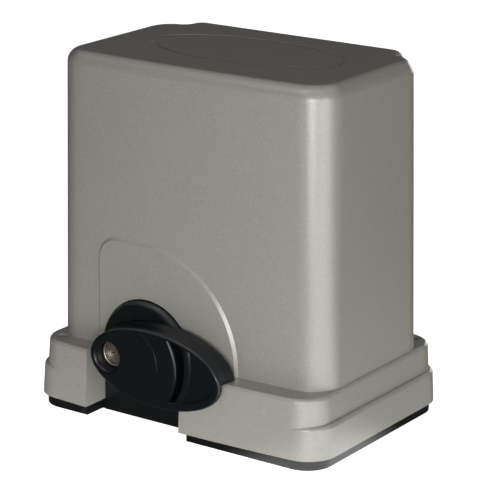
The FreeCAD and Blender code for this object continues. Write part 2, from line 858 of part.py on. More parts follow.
def make_rear_bearing_cover():
    plate = rod_y(shaft_x, shaft_z, case_radius, case_rear_y, case_rear_y + rear_cover_plate)
    spigot = rod_y(shaft_x, shaft_z, case_bore_radius - 0.1, case_rear_y - rear_cover_spigot, case_rear_y)
    neck = rod_y(shaft_x, shaft_z, neck_radius, case_rear_y, neck_end_y)
    plate_y = case_rear_y + rear_cover_plate
    rib_end_x = shaft_x + case_radius - lid_rib_thickness
    corners = [V(shaft_x, case_rear_y + 1, 0), V(rib_end_x, case_rear_y + 1, 0), V(rib_end_x, plate_y, 0),
               V(shaft_x + neck_radius, plate_y + lid_rib_height, 0),
               V(shaft_x, plate_y + lid_rib_height, 0), V(shaft_x, case_rear_y + 1, 0)]
    rib = prism(Part.makePolygon(corners), V(0, 0, lid_rib_thickness))
    rib = placed(rib, 0, 0, shaft_z - lid_rib_thickness / 2.0)
    ribs = [around_shaft(rib, 30 + 360.0 / rear_screw_count * index) for index in range(rear_screw_count)]
    lid = fuse([plate, spigot, neck] + ribs)
    lid = lid.cut(rod_y(shaft_x, shaft_z, rear_bearing_radius + seat_gap,
                        case_rear_y - rear_cover_spigot - 1, rear_bearing_y + rear_bearing_width))
    lid = lid.cut(rod_y(shaft_x, shaft_z, shaft_radius + 2.5, rear_bearing_y, neck_end_y + 1))
    lid = lid.cut(rod_y(shaft_x, shaft_z, seal_radius, seal_y, neck_end_y + 1))
    for x, z in rear_screw_places():
        lid = lid.cut(rod_y(x, z, rear_screw_radius + 0.2, case_rear_y - rear_cover_spigot - 1, plate_y + 1))
        lid = lid.cut(rod_y(x, z, rear_screw_head_radius + 0.5, rear_screw_seat_y(),
                            plate_y + lid_rib_height))
    return lid


def make_rear_cover_screws():
    screw = laid_along_y(socket_screw(rear_screw_radius, rear_screw_length, rear_screw_head_radius,
                                      rear_screw_head_height))
    return Part.makeCompound([placed(screw, x, rear_screw_seat_y(), z) for x, z in rear_screw_places()])


def make_oil_seal():
    seal = ring_y(shaft_x, shaft_z, seal_radius, shaft_radius + running_gap, seal_y, seal_y + seal_width)
    groove = ring_y(shaft_x, shaft_z, seal_radius - 2.0, shaft_radius + 2.0,
                    seal_y + seal_width - 3.0, seal_y + seal_width + 1)
    return seal.cut(groove)


# ---------------------------------------------------------------- output shaft group
def make_output_shaft():
    nose = rod_y(shaft_x, shaft_z, shaft_nose_radius, front_bearing_y - 2, case_inner_wall_y)
    collar = rod_y(shaft_x, shaft_z, shaft_radius + 4, case_inner_wall_y, wheel_hub_front - 0.3)
    body = rod_y(shaft_x, shaft_z, shaft_radius, case_inner_wall_y, pinion_end_y - 0.5)
    shaft = fuse([nose, collar, body])
    shaft = shaft.cut(rod_y(shaft_x, shaft_z, rod_radius + 0.1, front_bearing_y - 3,
                            pin_y + cam_lift + 6))
    low = pin_y - 2.8
    high = pin_y + cam_lift + 2.8
    shaft = shaft.cut(box(shaft_x - 20, shaft_x + 20, low, high, shaft_z - 2.8, shaft_z + 2.8))
    shaft = shaft.cut(rod_y(shaft_x, shaft_z, pinion_screw_radius + 0.1, pinion_end_y - 20, pinion_end_y))
    keyway = box(shaft_x - key_width / 2, shaft_x + key_width / 2, key_start(), key_start() + key_length,
                 shaft_z + shaft_radius - key_depth, shaft_z + shaft_radius + key_height)
    return shaft.cut(keyway)


def key_start():
    return pinion_y + (pinion_width - key_length) / 2.0


def make_shaft_key():
    return box(shaft_x - key_width / 2, shaft_x + key_width / 2, key_start(), key_start() + key_length,
               shaft_z + shaft_radius - key_depth, shaft_z + shaft_radius - key_depth + key_height)


def make_drive_pinion():
    pinion = on_shaft(involute_gear(pinion_module, pinion_teeth, pinion_width, 0.1), pinion_y)
    pinion = pinion.cut(rod_y(shaft_x, shaft_z, shaft_radius + seat_gap, pinion_y - 1, pinion_end_y + 1))
    keyway = box(shaft_x - key_width / 2, shaft_x + key_width / 2, pinion_y - 1, pinion_end_y + 1,
                 shaft_z, shaft_z + shaft_radius - key_depth + key_height + 0.2)
    return pinion.cut(keyway)


def make_pinion_spacer():
    return ring_y(shaft_x, shaft_z, shaft_radius + 4, shaft_radius + seat_gap, neck_end_y + 0.5, pinion_y)


def make_pinion_washer():
    return ring_y(shaft_x, shaft_z, pinion_washer_radius, pinion_screw_radius + 0.3, pinion_end_y,
                  pinion_end_y + pinion_washer_thickness)


def make_pinion_screw():
    screw = laid_along_y(socket_screw(pinion_screw_radius, pinion_screw_length, pinion_screw_head_radius,
                                      pinion_screw_head_height))
    return placed(screw, shaft_x, pinion_end_y + pinion_washer_thickness, shaft_z)


def make_shaft_spacer():
    tube = ring_y(shaft_x, shaft_z, spacer_radius, shaft_radius + seat_gap, spacer_y, rear_bearing_y)
    flange = ring_y(shaft_x, shaft_z, spacer_flange_radius, shaft_radius + seat_gap,
                    spacer_y, spacer_y + spacer_flange)
    return tube.fuse(flange)


def make_front_shaft_bearing():
    bearing = laid_along_y(shielded_bearing(front_bearing_radius, shaft_nose_radius + seat_gap,
                                            front_bearing_width))
    return on_shaft(bearing, front_bearing_y)


def make_rear_shaft_bearing():
    bearing = laid_along_y(shielded_bearing(rear_bearing_radius, shaft_radius + seat_gap,
                                            rear_bearing_width))
    return on_shaft(bearing, rear_bearing_y)


# ---------------------------------------------------------------- worm wheel and clutch
def dogs(y0, y1, first_angle, width_angle):
    """Ring of clutch dogs; each ends at its angle, anticlockwise as seen from the front."""
    shapes = []
    for index in range(dog_count):
        middle = first_angle + index * 360.0 / dog_count
        sector = Part.makeCylinder(wheel_hub_radius, y1 - y0, V(shaft_x, y0, shaft_z), V(0, 1, 0),
                                   width_angle)
        sector = sector.cut(rod_y(shaft_x, shaft_z, dog_inner_radius, y0 - 1, y1 + 1))
        shapes.append(around_shaft(sector, middle))
    return shapes


def make_worm_wheel():
    lead = math.atan(worm_pitch / (2 * math.pi * worm_pitch_radius))
    shift = wheel_width * math.tan(lead)
    rim = involute_gear(module_worm, wheel_teeth, wheel_width, mesh_backlash, shift)
    rim.rotate(V(0, 0, 0), V(0, 1, 0), 180.0 / wheel_teeth)
    rim = on_shaft(rim, -wheel_width / 2.0)
    web_radius = wheel_pitch_radius - 2.2 * module_worm
    for side in (-1, 1):
        low = -wheel_width / 2 - 1 if side < 0 else 4.0
        high = -4.0 if side < 0 else wheel_width / 2 + 1
        rim = rim.cut(ring_y(shaft_x, shaft_z, web_radius, wheel_hub_radius, low, high))
    hub = rod_y(shaft_x, shaft_z, wheel_hub_radius, wheel_hub_front, wheel_hub_rear)
    wheel = fuse([rim, hub] + dogs(wheel_hub_rear, wheel_hub_rear + dog_height, 0, dog_angle))
    bore = shaft_radius + wheel_bush_wall
    return wheel.cut(rod_y(shaft_x, shaft_z, bore, wheel_hub_front - 1, wheel_hub_rear + dog_height + 1))


def make_wheel_bush():
    return ring_y(shaft_x, shaft_z, shaft_radius + wheel_bush_wall, shaft_radius + running_gap,
                  wheel_hub_front, wheel_hub_rear)


def make_clutch_sleeve():
    disc = rod_y(shaft_x, shaft_z, wheel_hub_radius + 1, sleeve_y, sleeve_end_y)
    gap_angle = 360.0 / dog_count - dog_angle
    teeth = dogs(sleeve_y - dog_height, sleeve_y, gap_angle - dog_play, gap_angle - 2 * dog_play)
    sleeve = fuse([disc] + teeth)
    sleeve = sleeve.cut(rod_y(shaft_x, shaft_z, shaft_radius + running_gap, sleeve_y - dog_height - 1,
                              sleeve_end_y + 1))
    return sleeve.cut(rod_x(pin_y, shaft_z, 2.5, shaft_x - 30, shaft_x + 30))


def make_clutch_pin():
    reach = wheel_hub_radius
    return rod_x(pin_y, shaft_z, 2.5, shaft_x - reach, shaft_x + reach)


def make_clutch_spring():
    length = spacer_y - sleeve_end_y
    mean_radius = 14.0
    rise = length - 2 * spring_wire - 0.2
    helix = Part.makeHelix(rise / spring_turns, rise, mean_radius)
    corners = [V(mean_radius + side * spring_wire, 0, rise_by * spring_wire)
               for side, rise_by in ((-1, -1), (1, -1), (1, 1), (-1, 1), (-1, -1))]
    coil = solid_of(Part.Wire(helix).makePipeShell([Part.makePolygon(corners)], True, True))
    coil = laid_along_y(coil)
    return on_shaft(coil, sleeve_end_y + spring_wire + 0.1)


# ---------------------------------------------------------------- release mechanism
def make_release_spindle():
    flange = rod_y(shaft_x, shaft_z, spindle_flange_radius, spindle_flange_y, cam_face_y)
    stem = rod_y(shaft_x, shaft_z, spindle_radius, boss_face_y + race_depth + 0.2, spindle_flange_y)
    square = box(shaft_x - square_half, shaft_x + square_half, handle_square_y,
                 boss_face_y + race_depth + 0.2, shaft_z - square_half, shaft_z + square_half)
    spindle = fuse([flange, stem, square])
    for ball_angle in cam_ball_angles:
        spindle = spindle.cut(cam_groove(ball_angle))
    return spindle.cut(rod_x(roll_pin_y(), shaft_z, 1.5, shaft_x - 20, shaft_x + 20))


def cam_groove(ball_angle):
    """A ball sits at ball_angle, anticlockwise from the right as seen from the front.

    Turning the spindle brings shallower ground under the ball, so the groove climbs
    towards the rear in the clockwise direction.
    """
    pitch = cam_lift * 360.0 / turn_angle
    radius = cam_ball_radius + cam_gap
    depth = 2.0 * cam_lift
    corners = [V(cam_ball_circle + radius, 0, 0), V(cam_ball_circle + radius, 0, depth),
               V(cam_ball_circle - radius, 0, depth), V(cam_ball_circle - radius, 0, 0)]
    bottom = arc(corners[3], V(cam_ball_circle, 0, -radius), corners[0])
    sides = [Part.makeLine(corners[index], corners[index + 1]) for index in range(3)]
    path = Part.Wire(Part.makeHelix(pitch, cam_lift, cam_ball_circle))
    ramp = solid_of(path.makePipeShell([Part.Wire([bottom] + sides)], True, True))
    shapes = [ramp]
    for turn in (0.0, math.radians(turn_angle)):
        station = V(cam_ball_circle * math.cos(turn), cam_ball_circle * math.sin(turn),
                    cam_lift * turn / math.radians(turn_angle))
        shapes.append(Part.makeSphere(radius, station))
        shapes.append(Part.makeCylinder(radius, depth, station, V(0, 0, 1)))
    cutter = laid_along_y(fuse(shapes))
    return around_shaft(on_shaft(cutter, ball_centre_y()), ball_angle)


def ball_centre_y():
    return cam_face_y - cam_lift - 0.5


def roll_pin_y():
    return handle_back_y - 3.0


def make_cam_follower():
    disc = rod_y(shaft_x, shaft_z, chamber_radius - 0.4, follower_y, follower_y + follower_thickness)
    ears = box(shaft_x - follower_ear, shaft_x + follower_ear, follower_y,
               follower_y + follower_thickness, shaft_z - follower_ear_width / 2,
               shaft_z + follower_ear_width / 2)
    shapes = [disc, ears]
    for angle in cam_ball_angles:
        x = shaft_x + cam_ball_circle * math.cos(math.radians(angle))
        z = shaft_z + cam_ball_circle * math.sin(math.radians(angle))
        shapes.append(rod_y(x, z, cam_ball_radius, ball_centre_y(), follower_y))
        shapes.append(Part.makeSphere(cam_ball_radius, V(x, ball_centre_y(), z)))
    follower = fuse(shapes)
    return follower.cut(rod_y(shaft_x, shaft_z, rod_radius, follower_y - 1, follower_y + 20))


def make_release_rod():
    return rod_y(shaft_x, shaft_z, rod_radius, follower_y, pin_y - 2.5)


# ---------------------------------------------------------------- release handle
def handle_ellipse(grow, depth):
    ellipse = Part.Ellipse(V(0, 0, 0), handle_half_length + grow, handle_half_height + grow)
    wire = Part.Wire(ellipse.toShape())
    wire.rotate(V(0, 0, 0), V(0, 0, 1), handle_tilt)
    wire.translate(V(handle_x, handle_z, depth))
    return wire


def handle_block(grow, y0, y1, rise=0.0):
    """Straight lens-shaped block from y0 (front) back to y1."""
    wire = handle_ellipse(grow, -y1)
    wire.translate(V(0, rise, 0))
    return front_on(prism(wire, V(0, 0, y1 - y0)))


def handle_flare():
    """The lens, straight behind its front edge, then flaring to a narrow straight edge at the back."""
    front = handle_block(0, handle_front_y, handle_waist_y)
    front_edges = [edge for edge in front.Edges
                   if abs(edge.BoundBox.YMin - handle_front_y) < 0.01
                   and abs(edge.BoundBox.YMax - handle_front_y) < 0.01]
    front = front.makeFillet(handle_round, front_edges)
    lip_y = handle_back_y - handle_lip
    waist = handle_ellipse(0, -handle_waist_y)
    middle = front_on(block_between(handle_ellipse(handle_spread, -lip_y), waist))
    return fuse([front, middle, handle_block(handle_spread, lip_y, handle_back_y)])


def turned_about_y(x, z, profile):
    """Solid turned about a line along Y. Corners are (radius, y), and a corner that ends an arc
    also has the arc's middle point."""
    edges = []
    for start, end in zip(profile, profile[1:] + profile[:1]):
        first = V(start[0], start[1], 0)
        last = V(end[0], end[1], 0)
        if len(end) == 4:
            edges.append(arc(first, V(end[2], end[3], 0), last))
        else:
            edges.append(Part.makeLine(first, last))
    face = Part.Face(Part.Wire(edges))
    solid = face.revolve(V(0, 0, 0), V(0, 1, 0), 360)
    return placed(solid, x, 0, z)


def round_middle(radius, y, size, side):
    """Middle point of a quarter round at this corner, to its outside (1) or its inside (-1)."""
    share = size * (1 - math.sqrt(0.5))
    return radius + side * share, y + share


def dome_y(radius):
    """Where the hub's domed face lies at this radius from the shaft's centre."""
    sphere = (handle_hub_radius ** 2 + handle_dome ** 2) / (2 * handle_dome)
    return handle_front_y + sphere - math.sqrt(sphere ** 2 - radius ** 2)


def hub_solid():
    """Hub with its domed face."""
    profile = [(0, handle_back_y + 1), (handle_hub_radius, handle_back_y + 1),
               (handle_hub_radius, handle_rim_y),
               (0, handle_front_y, handle_hub_radius / 2, dome_y(handle_hub_radius / 2))]
    return turned_about_y(shaft_x, shaft_z, profile)


def hub_edge_cutter():
    """What is taken off to round the hub's edge."""
    inner = handle_hub_radius - hub_edge_round
    outer = handle_hub_radius + 0.5
    edge_y = dome_y(inner)
    profile = [(inner, handle_front_y - 1), (outer, handle_front_y - 1), (outer, edge_y + hub_edge_round),
               (handle_hub_radius, edge_y + hub_edge_round),
               (inner, edge_y) + round_middle(handle_hub_radius, edge_y, hub_edge_round, -1)]
    return turned_about_y(shaft_x, shaft_z, profile)


def rounded_sink(x, z, radius, mouth_y, floor_y, size):
    """Cutter for a round sink whose mouth is rounded over."""
    profile = [(0, floor_y), (0, handle_front_y - 2), (radius + size, handle_front_y - 2),
               (radius + size, mouth_y),
               (radius, mouth_y + size) + round_middle(radius, mouth_y, size, 1), (radius, floor_y)]
    return turned_about_y(x, z, profile)


def below_ledge():
    """What the handle leaves free below the ledge: the skirt's place, behind a thin web."""
    below = box(shaft_x - 200, shaft_x + 200, handle_web_y, handle_back_y + 1, -50,
                ledge_z + handle_well_gap)
    hub = rod_y(shaft_x, shaft_z, handle_hub_radius, handle_web_y - 1, handle_back_y + 2)
    deep = rod_y(shaft_x, shaft_z, handle_deep_radius, handle_web_y - 1, handle_back_y + 2)
    deep = deep.common(box(shaft_x, shaft_x + 200, handle_web_y - 1, handle_back_y + 2,
                           well_low_z + handle_well_gap, ledge_z + 2))
    return below.cut(hub).cut(deep)


def make_release_handle():
    lens = handle_flare()
    lens = lens.cut(below_ledge())

    # The rim stands a little lower than the dome of the hub.
    above_rim = handle_block(5, handle_front_y - 1, handle_rim_y)
    lens = lens.cut(above_rim.cut(hub_solid()))

    # Dished face, and a deep round groove between it and the hub.
    hub_column = rod_y(shaft_x, shaft_z, handle_hub_radius, handle_front_y - 3, handle_back_y + 1)
    dish = handle_block(-dish_rim, handle_front_y - 1, dish_floor_y, dish_rise)
    lens = lens.cut(dish.cut(hub_column))
    groove = rounded_sink(groove_x, groove_z, groove_radius, dish_floor_y, groove_floor_y,
                          groove_lip_round)
    within = handle_block(-dish_rim, handle_front_y - 3, handle_back_y, dish_rise)
    right = box(shaft_x, shaft_x + 200, handle_front_y - 3, handle_back_y, shaft_z - 80, shaft_z + 80)
    lens = lens.cut(groove.cut(hub_column).common(within).common(right))
    lens = lens.cut(hub_edge_cutter().common(within).common(right))

    ridge_y = handle_rim_y - handle_dome * (1 - (face_ridge_radius / handle_hub_radius) ** 2)
    ridge = ring_y(shaft_x, shaft_z, face_ridge_radius + face_ridge_width / 2,
                   face_ridge_radius - face_ridge_width / 2, ridge_y - face_ridge_height, ridge_y + 1)
    first, last = face_ridge_angles
    sector = front_on(Part.makeCylinder(handle_hub_radius, 10, V(0, 0, 0), V(0, 0, 1), last - first))
    sector = around_shaft(placed(sector, shaft_x, ridge_y + 5, shaft_z), first)
    spigot = rod_y(shaft_x, shaft_z, spigot_radius, handle_back_y - 1, boss_face_y + race_depth - 0.4)
    lens = fuse([lens, ridge.common(sector), spigot])

    # Lock seat, the square for the spindle and the hole for its pin.
    lens = lens.cut(rounded_sink(lock_x, lock_z, lock_recess_radius, handle_rim_y, lock_recess_y,
                                 lock_recess_round))
    lens = lens.cut(rod_y(lock_x, lock_z, lock_barrel_radius, handle_front_y - 1, handle_back_y + 1))
    lens = lens.cut(box(shaft_x - square_half - 0.05, shaft_x + square_half + 0.05,
                        handle_square_y - 0.1, boss_face_y + 10, shaft_z - square_half - 0.05,
                        shaft_z + square_half + 0.05))
    return lens.cut(rod_x(roll_pin_y(), shaft_z, 1.5, shaft_x - 5, shaft_x + 16))


def make_handle_pin():
    return rod_x(roll_pin_y(), shaft_z, 1.5, shaft_x - 5, shaft_x + 16)


def make_lock_barrel():
    return ring_y(lock_x, lock_z, lock_barrel_radius, lock_plug_radius + running_gap, lock_seat_y,
                  handle_back_y)


def make_lock_ring():
    ring = ring_y(lock_x, lock_z, lock_ring_radius, lock_head_radius + lock_head_gap, lock_front_y,
                  lock_recess_y)
    front_edges = [edge for edge in ring.Edges
                   if abs(edge.BoundBox.YMax - lock_front_y) < 0.01
                   and edge.BoundBox.XLength > 2 * lock_ring_radius - 0.5]
    return ring.makeFillet(lock_ring_round, front_edges)


def make_lock_plug():
    head_back_y = lock_seat_y - running_gap
    plug = rod_y(lock_x, lock_z, lock_head_radius, lock_front_y + lock_head_gap, head_back_y)
    plug = plug.fuse(rod_y(lock_x, lock_z, lock_plug_radius, head_back_y, handle_back_y))
    plug = plug.fuse(rod_y(lock_x, lock_z, lock_tail_radius, handle_back_y, lock_cam_y))
    plug = plug.cut(box(lock_x - 4.2, lock_x + 4.2, lock_front_y, handle_back_y - 2, lock_z - 0.7,
                        lock_z + 0.7))
    return plug


def make_lock_cam():
    """Blade on the plug's tail; it points along the race when unlocked."""
    blade = box(0, lock_cam_reach, 0, lock_cam_thickness, -lock_cam_width / 2, lock_cam_width / 2)
    blade = blade.fuse(rod_y(0, 0, lock_cam_width / 2 + 1.5, 0, lock_cam_thickness)).removeSplitter()
    blade.rotate(V(0, 0, 0), V(0, -1, 0), lock_outward() - turn_angle)
    return placed(blade, lock_x, lock_cam_y, lock_z)


# ---------------------------------------------------------------- motor
def make_worm_shaft():
    lower = rod_z(worm_x, 0, lower_journal_radius, worm_bottom_y + 0.5, worm_bottom_y + lower_bearing_width)
    core = rod_z(worm_x, 0, worm_root_radius, worm_bottom_y + lower_bearing_width, upper_bearing_z)
    middle = rod_z(worm_x, 0, upper_journal_radius, upper_bearing_z, case_top_z + 8)
    body = rod_z(worm_x, 0, rotor_shaft_radius, case_top_z + 8, top_bearing_z)
    tail = rod_z(worm_x, 0, lower_journal_radius, top_bearing_z, top_bearing_z + top_bearing_width + 1)

    half_root = worm_pitch / 4 - mesh_backlash / 2 + 1.25 * module_worm * math.tan(math.radians(20))
    half_tip = worm_pitch / 4 - mesh_backlash / 2 - module_worm * math.tan(math.radians(20))
    sunk = 0.4
    turns = math.ceil(worm_length / worm_pitch) + 2
    start_z = shaft_z - worm_pitch / 2 - worm_pitch * math.floor(turns / 2)
    profile = Part.makePolygon([V(worm_root_radius - sunk, 0, -half_root), V(worm_tip_radius, 0, -half_tip),
                                V(worm_tip_radius, 0, half_tip), V(worm_root_radius - sunk, 0, half_root),
                                V(worm_root_radius - sunk, 0, -half_root)])
    helix = Part.makeHelix(worm_pitch, worm_pitch * turns, worm_pitch_radius)
    thread = Part.Wire(helix).makePipeShell([profile], True, True)
    thread.translate(V(worm_x, 0, start_z))
    thread = thread.common(rod_z(worm_x, 0, worm_tip_radius + 1, shaft_z - worm_length / 2,
                                 shaft_z + worm_length / 2))
    return fuse([lower, core, middle, body, tail]).fuse(thread)


def make_bearing_z(outer, inner, width, z):
    return placed(shielded_bearing(outer, inner + seat_gap, width), worm_x, 0, z)


def motor_bolt_places():
    return [(worm_x + motor_bolt_circle * math.cos(math.radians(angle)),
             motor_bolt_circle * math.sin(math.radians(angle))) for angle in (35, 145, 215, 325)]


def shield_ears(z0, z1):
    ears = []
    for x, y in motor_bolt_places():
        ears.append(rod_z(x, y, motor_bolt_radius + motor_ear, z0, z1))
    return ears


def make_motor_flange():
    cup = rod_z(worm_x, 0, motor_radius, case_top_z, case_top_z + lower_shield_height)
    spigot = rod_z(worm_x, 0, upper_bearing_radius, upper_bearing_z + upper_bearing_width, case_top_z)
    ears_top = case_top_z + lower_shield_height
    ears = shield_ears(ears_top - motor_ear_height, ears_top)
    shield = fuse([cup, spigot] + ears)
    hollow = rod_z(worm_x, 0, motor_radius - motor_wall, case_top_z + motor_floor, stator_z)
    shield = shield.cut(hollow)
    shield = shield.cut(rod_z(worm_x, 0, stator_radius, stator_z, stator_z + 10))
    shield = shield.cut(rod_z(worm_x, 0, rotor_shaft_radius + 1.0, case_top_z - 20, case_top_z + 20))
    for x, y in motor_bolt_places():
        shield = shield.cut(rod_z(x, y, motor_bolt_radius, case_top_z - 1, stator_top_z))
    for x, y in flange_screw_places():
        shield = shield.cut(rod_z(x, y, flange_screw_radius + 0.25, case_top_z - 1,
                                  case_top_z + motor_floor + 1))
    return shield


def make_motor_flange_screws():
    screw = socket_screw(flange_screw_radius, case_flange_thickness + motor_floor,
                         flange_screw_head_radius, flange_screw_head_height)
    return Part.makeCompound([placed(screw, x, y, case_top_z + motor_floor)
                              for x, y in flange_screw_places()])


def make_stator_core():
    core = ring_z(worm_x, 0, stator_radius, stator_bore, stator_z, stator_top_z)
    slots = []
    for index in range(stator_slots):
        angle = math.radians(index * 360.0 / stator_slots)
        slots.append(rod_z(worm_x + stator_slot_circle * math.cos(angle),
                           stator_slot_circle * math.sin(angle), stator_slot_radius, stator_z - 1,
                           stator_top_z + 1))
    return core.cut(fuse(slots))


def make_stator_winding():
    ends = []
    for z0, z1 in ((stator_z - winding_height, stator_z), (stator_top_z, stator_top_z + winding_height)):
        bundle = ring_z(worm_x, 0, winding_outer, winding_inner, z0, z1)
        ends.append(bevel_edges(bundle, winding_chamfer, at_height(z0 if z0 < stator_z else z1)))
    return Part.makeCompound(ends)


def make_rotor_core():
    rotor = rod_z(worm_x, 0, stator_bore - air_gap, stator_z, stator_top_z)
    ring_radius = stator_bore - air_gap - 2
    rings = [rod_z(worm_x, 0, ring_radius, stator_z - rotor_ring_height, stator_z),
             rod_z(worm_x, 0, ring_radius, stator_top_z, stator_top_z + rotor_ring_height)]
    rotor = fuse([rotor] + rings)
    return rotor.cut(rod_z(worm_x, 0, rotor_shaft_radius + seat_gap, stator_z - 10, stator_top_z + 10))


def make_motor_top_shield():
    cup = rod_z(worm_x, 0, motor_radius, upper_shield_z, motor_top_z)
    cup = bevel_edges(cup, motor_top_round, at_height(motor_top_z))
    ears = shield_ears(upper_shield_z, upper_shield_z + motor_ear_height)
    hollow = rod_z(worm_x, 0, motor_radius - motor_wall, stator_top_z, motor_top_z - motor_wall)
    seat = rod_z(worm_x, 0, lower_bearing_radius + 4, top_bearing_z, motor_top_z - motor_wall)
    shield = fuse([cup] + ears).cut(hollow.cut(seat))
    shield = shield.cut(rod_z(worm_x, 0, stator_radius, upper_shield_z - 1, stator_top_z))
    shield = shield.cut(rod_z(worm_x, 0, lower_bearing_radius + seat_gap, top_bearing_z - 1,
                              top_bearing_z + top_bearing_width))
    shield = shield.cut(rod_z(worm_x, 0, lower_journal_radius + 1.5, top_bearing_z,
                              top_bearing_z + top_bearing_width + 1.5))
    for x, y in motor_bolt_places():
        shield = shield.cut(rod_z(x, y, motor_bolt_radius, upper_shield_z - 1, motor_top_z))
    return shield


def make_motor_through_bolts():
    head_z = upper_shield_z + motor_ear_height
    length = head_z - (case_top_z + lower_shield_height - motor_ear_height) + 3
    bolt = socket_screw(motor_bolt_radius, length, motor_bolt_head_radius, motor_bolt_head_height)
    return Part.makeCompound([placed(bolt, x, y, head_z) for x, y in motor_bolt_places()])


# ---------------------------------------------------------------- electrics
def make_board_bracket():
    wall = box(bracket_x - sheet, bracket_x, -bracket_half_y, bracket_half_y, foot_height, bracket_top_z)
    tab_half = bracket_half_y - bracket_tab_inset
    tab = box(bracket_x - bracket_tab, bracket_x, -tab_half, tab_half, foot_height, foot_height + sheet)
    flange = box(bracket_x - sheet, bracket_x + bracket_flange, bracket_half_y - sheet, bracket_half_y,
                 bracket_flange_z, bracket_top_z)
    window = rod_x(0, bracket_window_z, bracket_window_radius, bracket_x - 10, bracket_x + 10)
    bracket = fuse([wall, tab, flange]).cut(window)
    for y in bracket_screw_ys():
        bracket = bracket.cut(rod_z(bracket_screw_x(), y, bracket_screw_radius + 0.1, foot_height - 1,
                                    foot_height + sheet + 1))
    return bracket


def bracket_screw_x():
    return bracket_x - 0.6 * bracket_tab


def bracket_screw_ys():
    return (bracket_screw_inset - bracket_half_y, bracket_half_y - bracket_screw_inset)


def make_bracket_screws():
    screw = socket_screw(bracket_screw_radius, sheet + bracket_screw_grip, bracket_screw_head_radius,
                         bracket_screw_head_height)
    return Part.makeCompound([placed(screw, bracket_screw_x(), y, foot_height + sheet)
                              for y in bracket_screw_ys()])


def board_front_x():
    return bracket_x - sheet - board_standoff - board_thickness


def make_control_board():
    return box(board_front_x(), board_front_x() + board_thickness, -board_half_y, board_half_y,
               board_bottom_z, board_top_z)


def make_board_standoffs():
    posts = []
    for y in (standoff_inset - board_half_y, board_half_y - standoff_inset):
        for z in (board_bottom_z + standoff_inset, board_top_z - standoff_inset):
            posts.append(rod_x(y, z, standoff_radius, bracket_x - sheet - board_standoff,
                               bracket_x - sheet))
    return Part.makeCompound(posts)


def make_relays():
    high = board_top_z - relay_inset_z
    shapes = []
    for index in range(relay_count):
        y = relay_inset_y - board_half_y + index * relay_spacing
        shapes.append(box(board_front_x() - relay_depth, board_front_x(), y, y + relay_width,
                          high - relay_height, high))
    return Part.makeCompound(shapes)


def make_terminal_blocks():
    low = board_bottom_z + terminal_inset
    width = (terminal_ways - 1) * terminal_pitch + 2 * (terminal_hole_radius + 1.9)
    front_x = board_front_x() - terminal_block_depth
    shapes = []
    for index in range(terminal_blocks_count):
        y = terminal_inset - board_half_y + index * terminal_block_spacing
        block = box(front_x, board_front_x(), y, y + width, low, low + terminal_block_height)
        for way in range(terminal_ways):
            hole_y = y + terminal_hole_radius + 1.9 + way * terminal_pitch
            block = block.cut(rod_x(hole_y, low + terminal_block_height / 2.0, terminal_hole_radius,
                                    front_x - 1, front_x + terminal_hole_depth))
        shapes.append(block)
    return Part.makeCompound(shapes)


def make_processor():
    return box(board_front_x() - processor_depth, board_front_x(), -processor_half_y, processor_half_y,
               processor_z, processor_z + processor_height)


def make_transformer():
    core = box(bracket_x, bracket_x + transformer_depth, -transformer_half_y, transformer_half_y,
               transformer_z, transformer_z + transformer_height)
    coil = box(bracket_x + coil_inset, bracket_x + transformer_depth - coil_inset, -coil_half_y,
               coil_half_y, transformer_z - coil_overhang,
               transformer_z + transformer_height + coil_overhang)
    return fuse([core, coil])


def make_run_capacitor():
    top = foot_height + capacitor_length
    can = rod_z(capacitor_x, capacitor_y, capacitor_radius, foot_height, top)
    can = bevel_edges(can, capacitor_chamfer, at_height(top))
    half = capacitor_tag_thickness / 2.0
    tags = []
    for first in (-capacitor_tag_offset - capacitor_tag_width, capacitor_tag_offset):
        x = capacitor_x + first
        tags.append(box(x, x + capacitor_tag_width, capacitor_y - half, capacitor_y + half, top - 1,
                        top + capacitor_tag_height))
    return fuse([can] + tags)


def make_capacitor_clamp():
    top = clamp_z + clamp_width
    wall_y = capacitor_y + capacitor_radius
    half = clamp_width / 2.0
    band = ring_z(capacitor_x, capacitor_y, capacitor_radius + sheet, capacitor_radius, clamp_z, top)
    leg = box(capacitor_x - half, capacitor_x + half, wall_y, wall_y + sheet, foot_height, top)
    tab = box(capacitor_x - half, capacitor_x + half, wall_y, wall_y + clamp_tab, foot_height,
              foot_height + sheet)
    clamp = fuse([band, leg, tab])
    return clamp.cut(rod_z(capacitor_x, capacitor_y, capacitor_radius + seat_gap, 0, top + 1))


def sensor_x():
    return sensor_inset - bulge_half_x


def sensor_wall_y():
    return cover_rear_y - sensor_strip_back


def make_sensor_bracket():
    y = sensor_wall_y()
    strip = box(sensor_x() - sensor_strip_half_x, sensor_x() + sensor_strip_half_x, y, y + sheet,
                foot_height, sensor_strip_top_z)
    tab = box(sensor_x() - sensor_strip_half_x, sensor_x() + sensor_strip_half_x, y - sensor_tab,
              y + sheet, foot_height, foot_height + sheet)
    return fuse([strip, tab])


def make_limit_sensor():
    y = sensor_wall_y() + sheet
    rear = y + sensor_depth
    body = box(sensor_x() - sensor_half_x, sensor_x() + sensor_half_x, y, rear, sensor_z,
               sensor_z + sensor_height)
    return bevel_edges(body, sensor_chamfer, lambda edge: abs(edge.BoundBox.YMax - rear) < 0.01
                       and abs(edge.BoundBox.YLength) < 0.01)


def make_cable_grommet():
    inner = cable_hole_radius - grommet_wall
    sleeve = rod_z(cable_hole_x, cable_hole_y, cable_hole_radius, 1.0, foot_height)
    collar = rod_z(cable_hole_x, cable_hole_y, cable_hole_radius + 3.5, foot_height, foot_height + 3)
    grommet = fuse([sleeve, collar])
    return grommet.cut(rod_z(cable_hole_x, cable_hole_y, inner, 0, foot_height + 5))


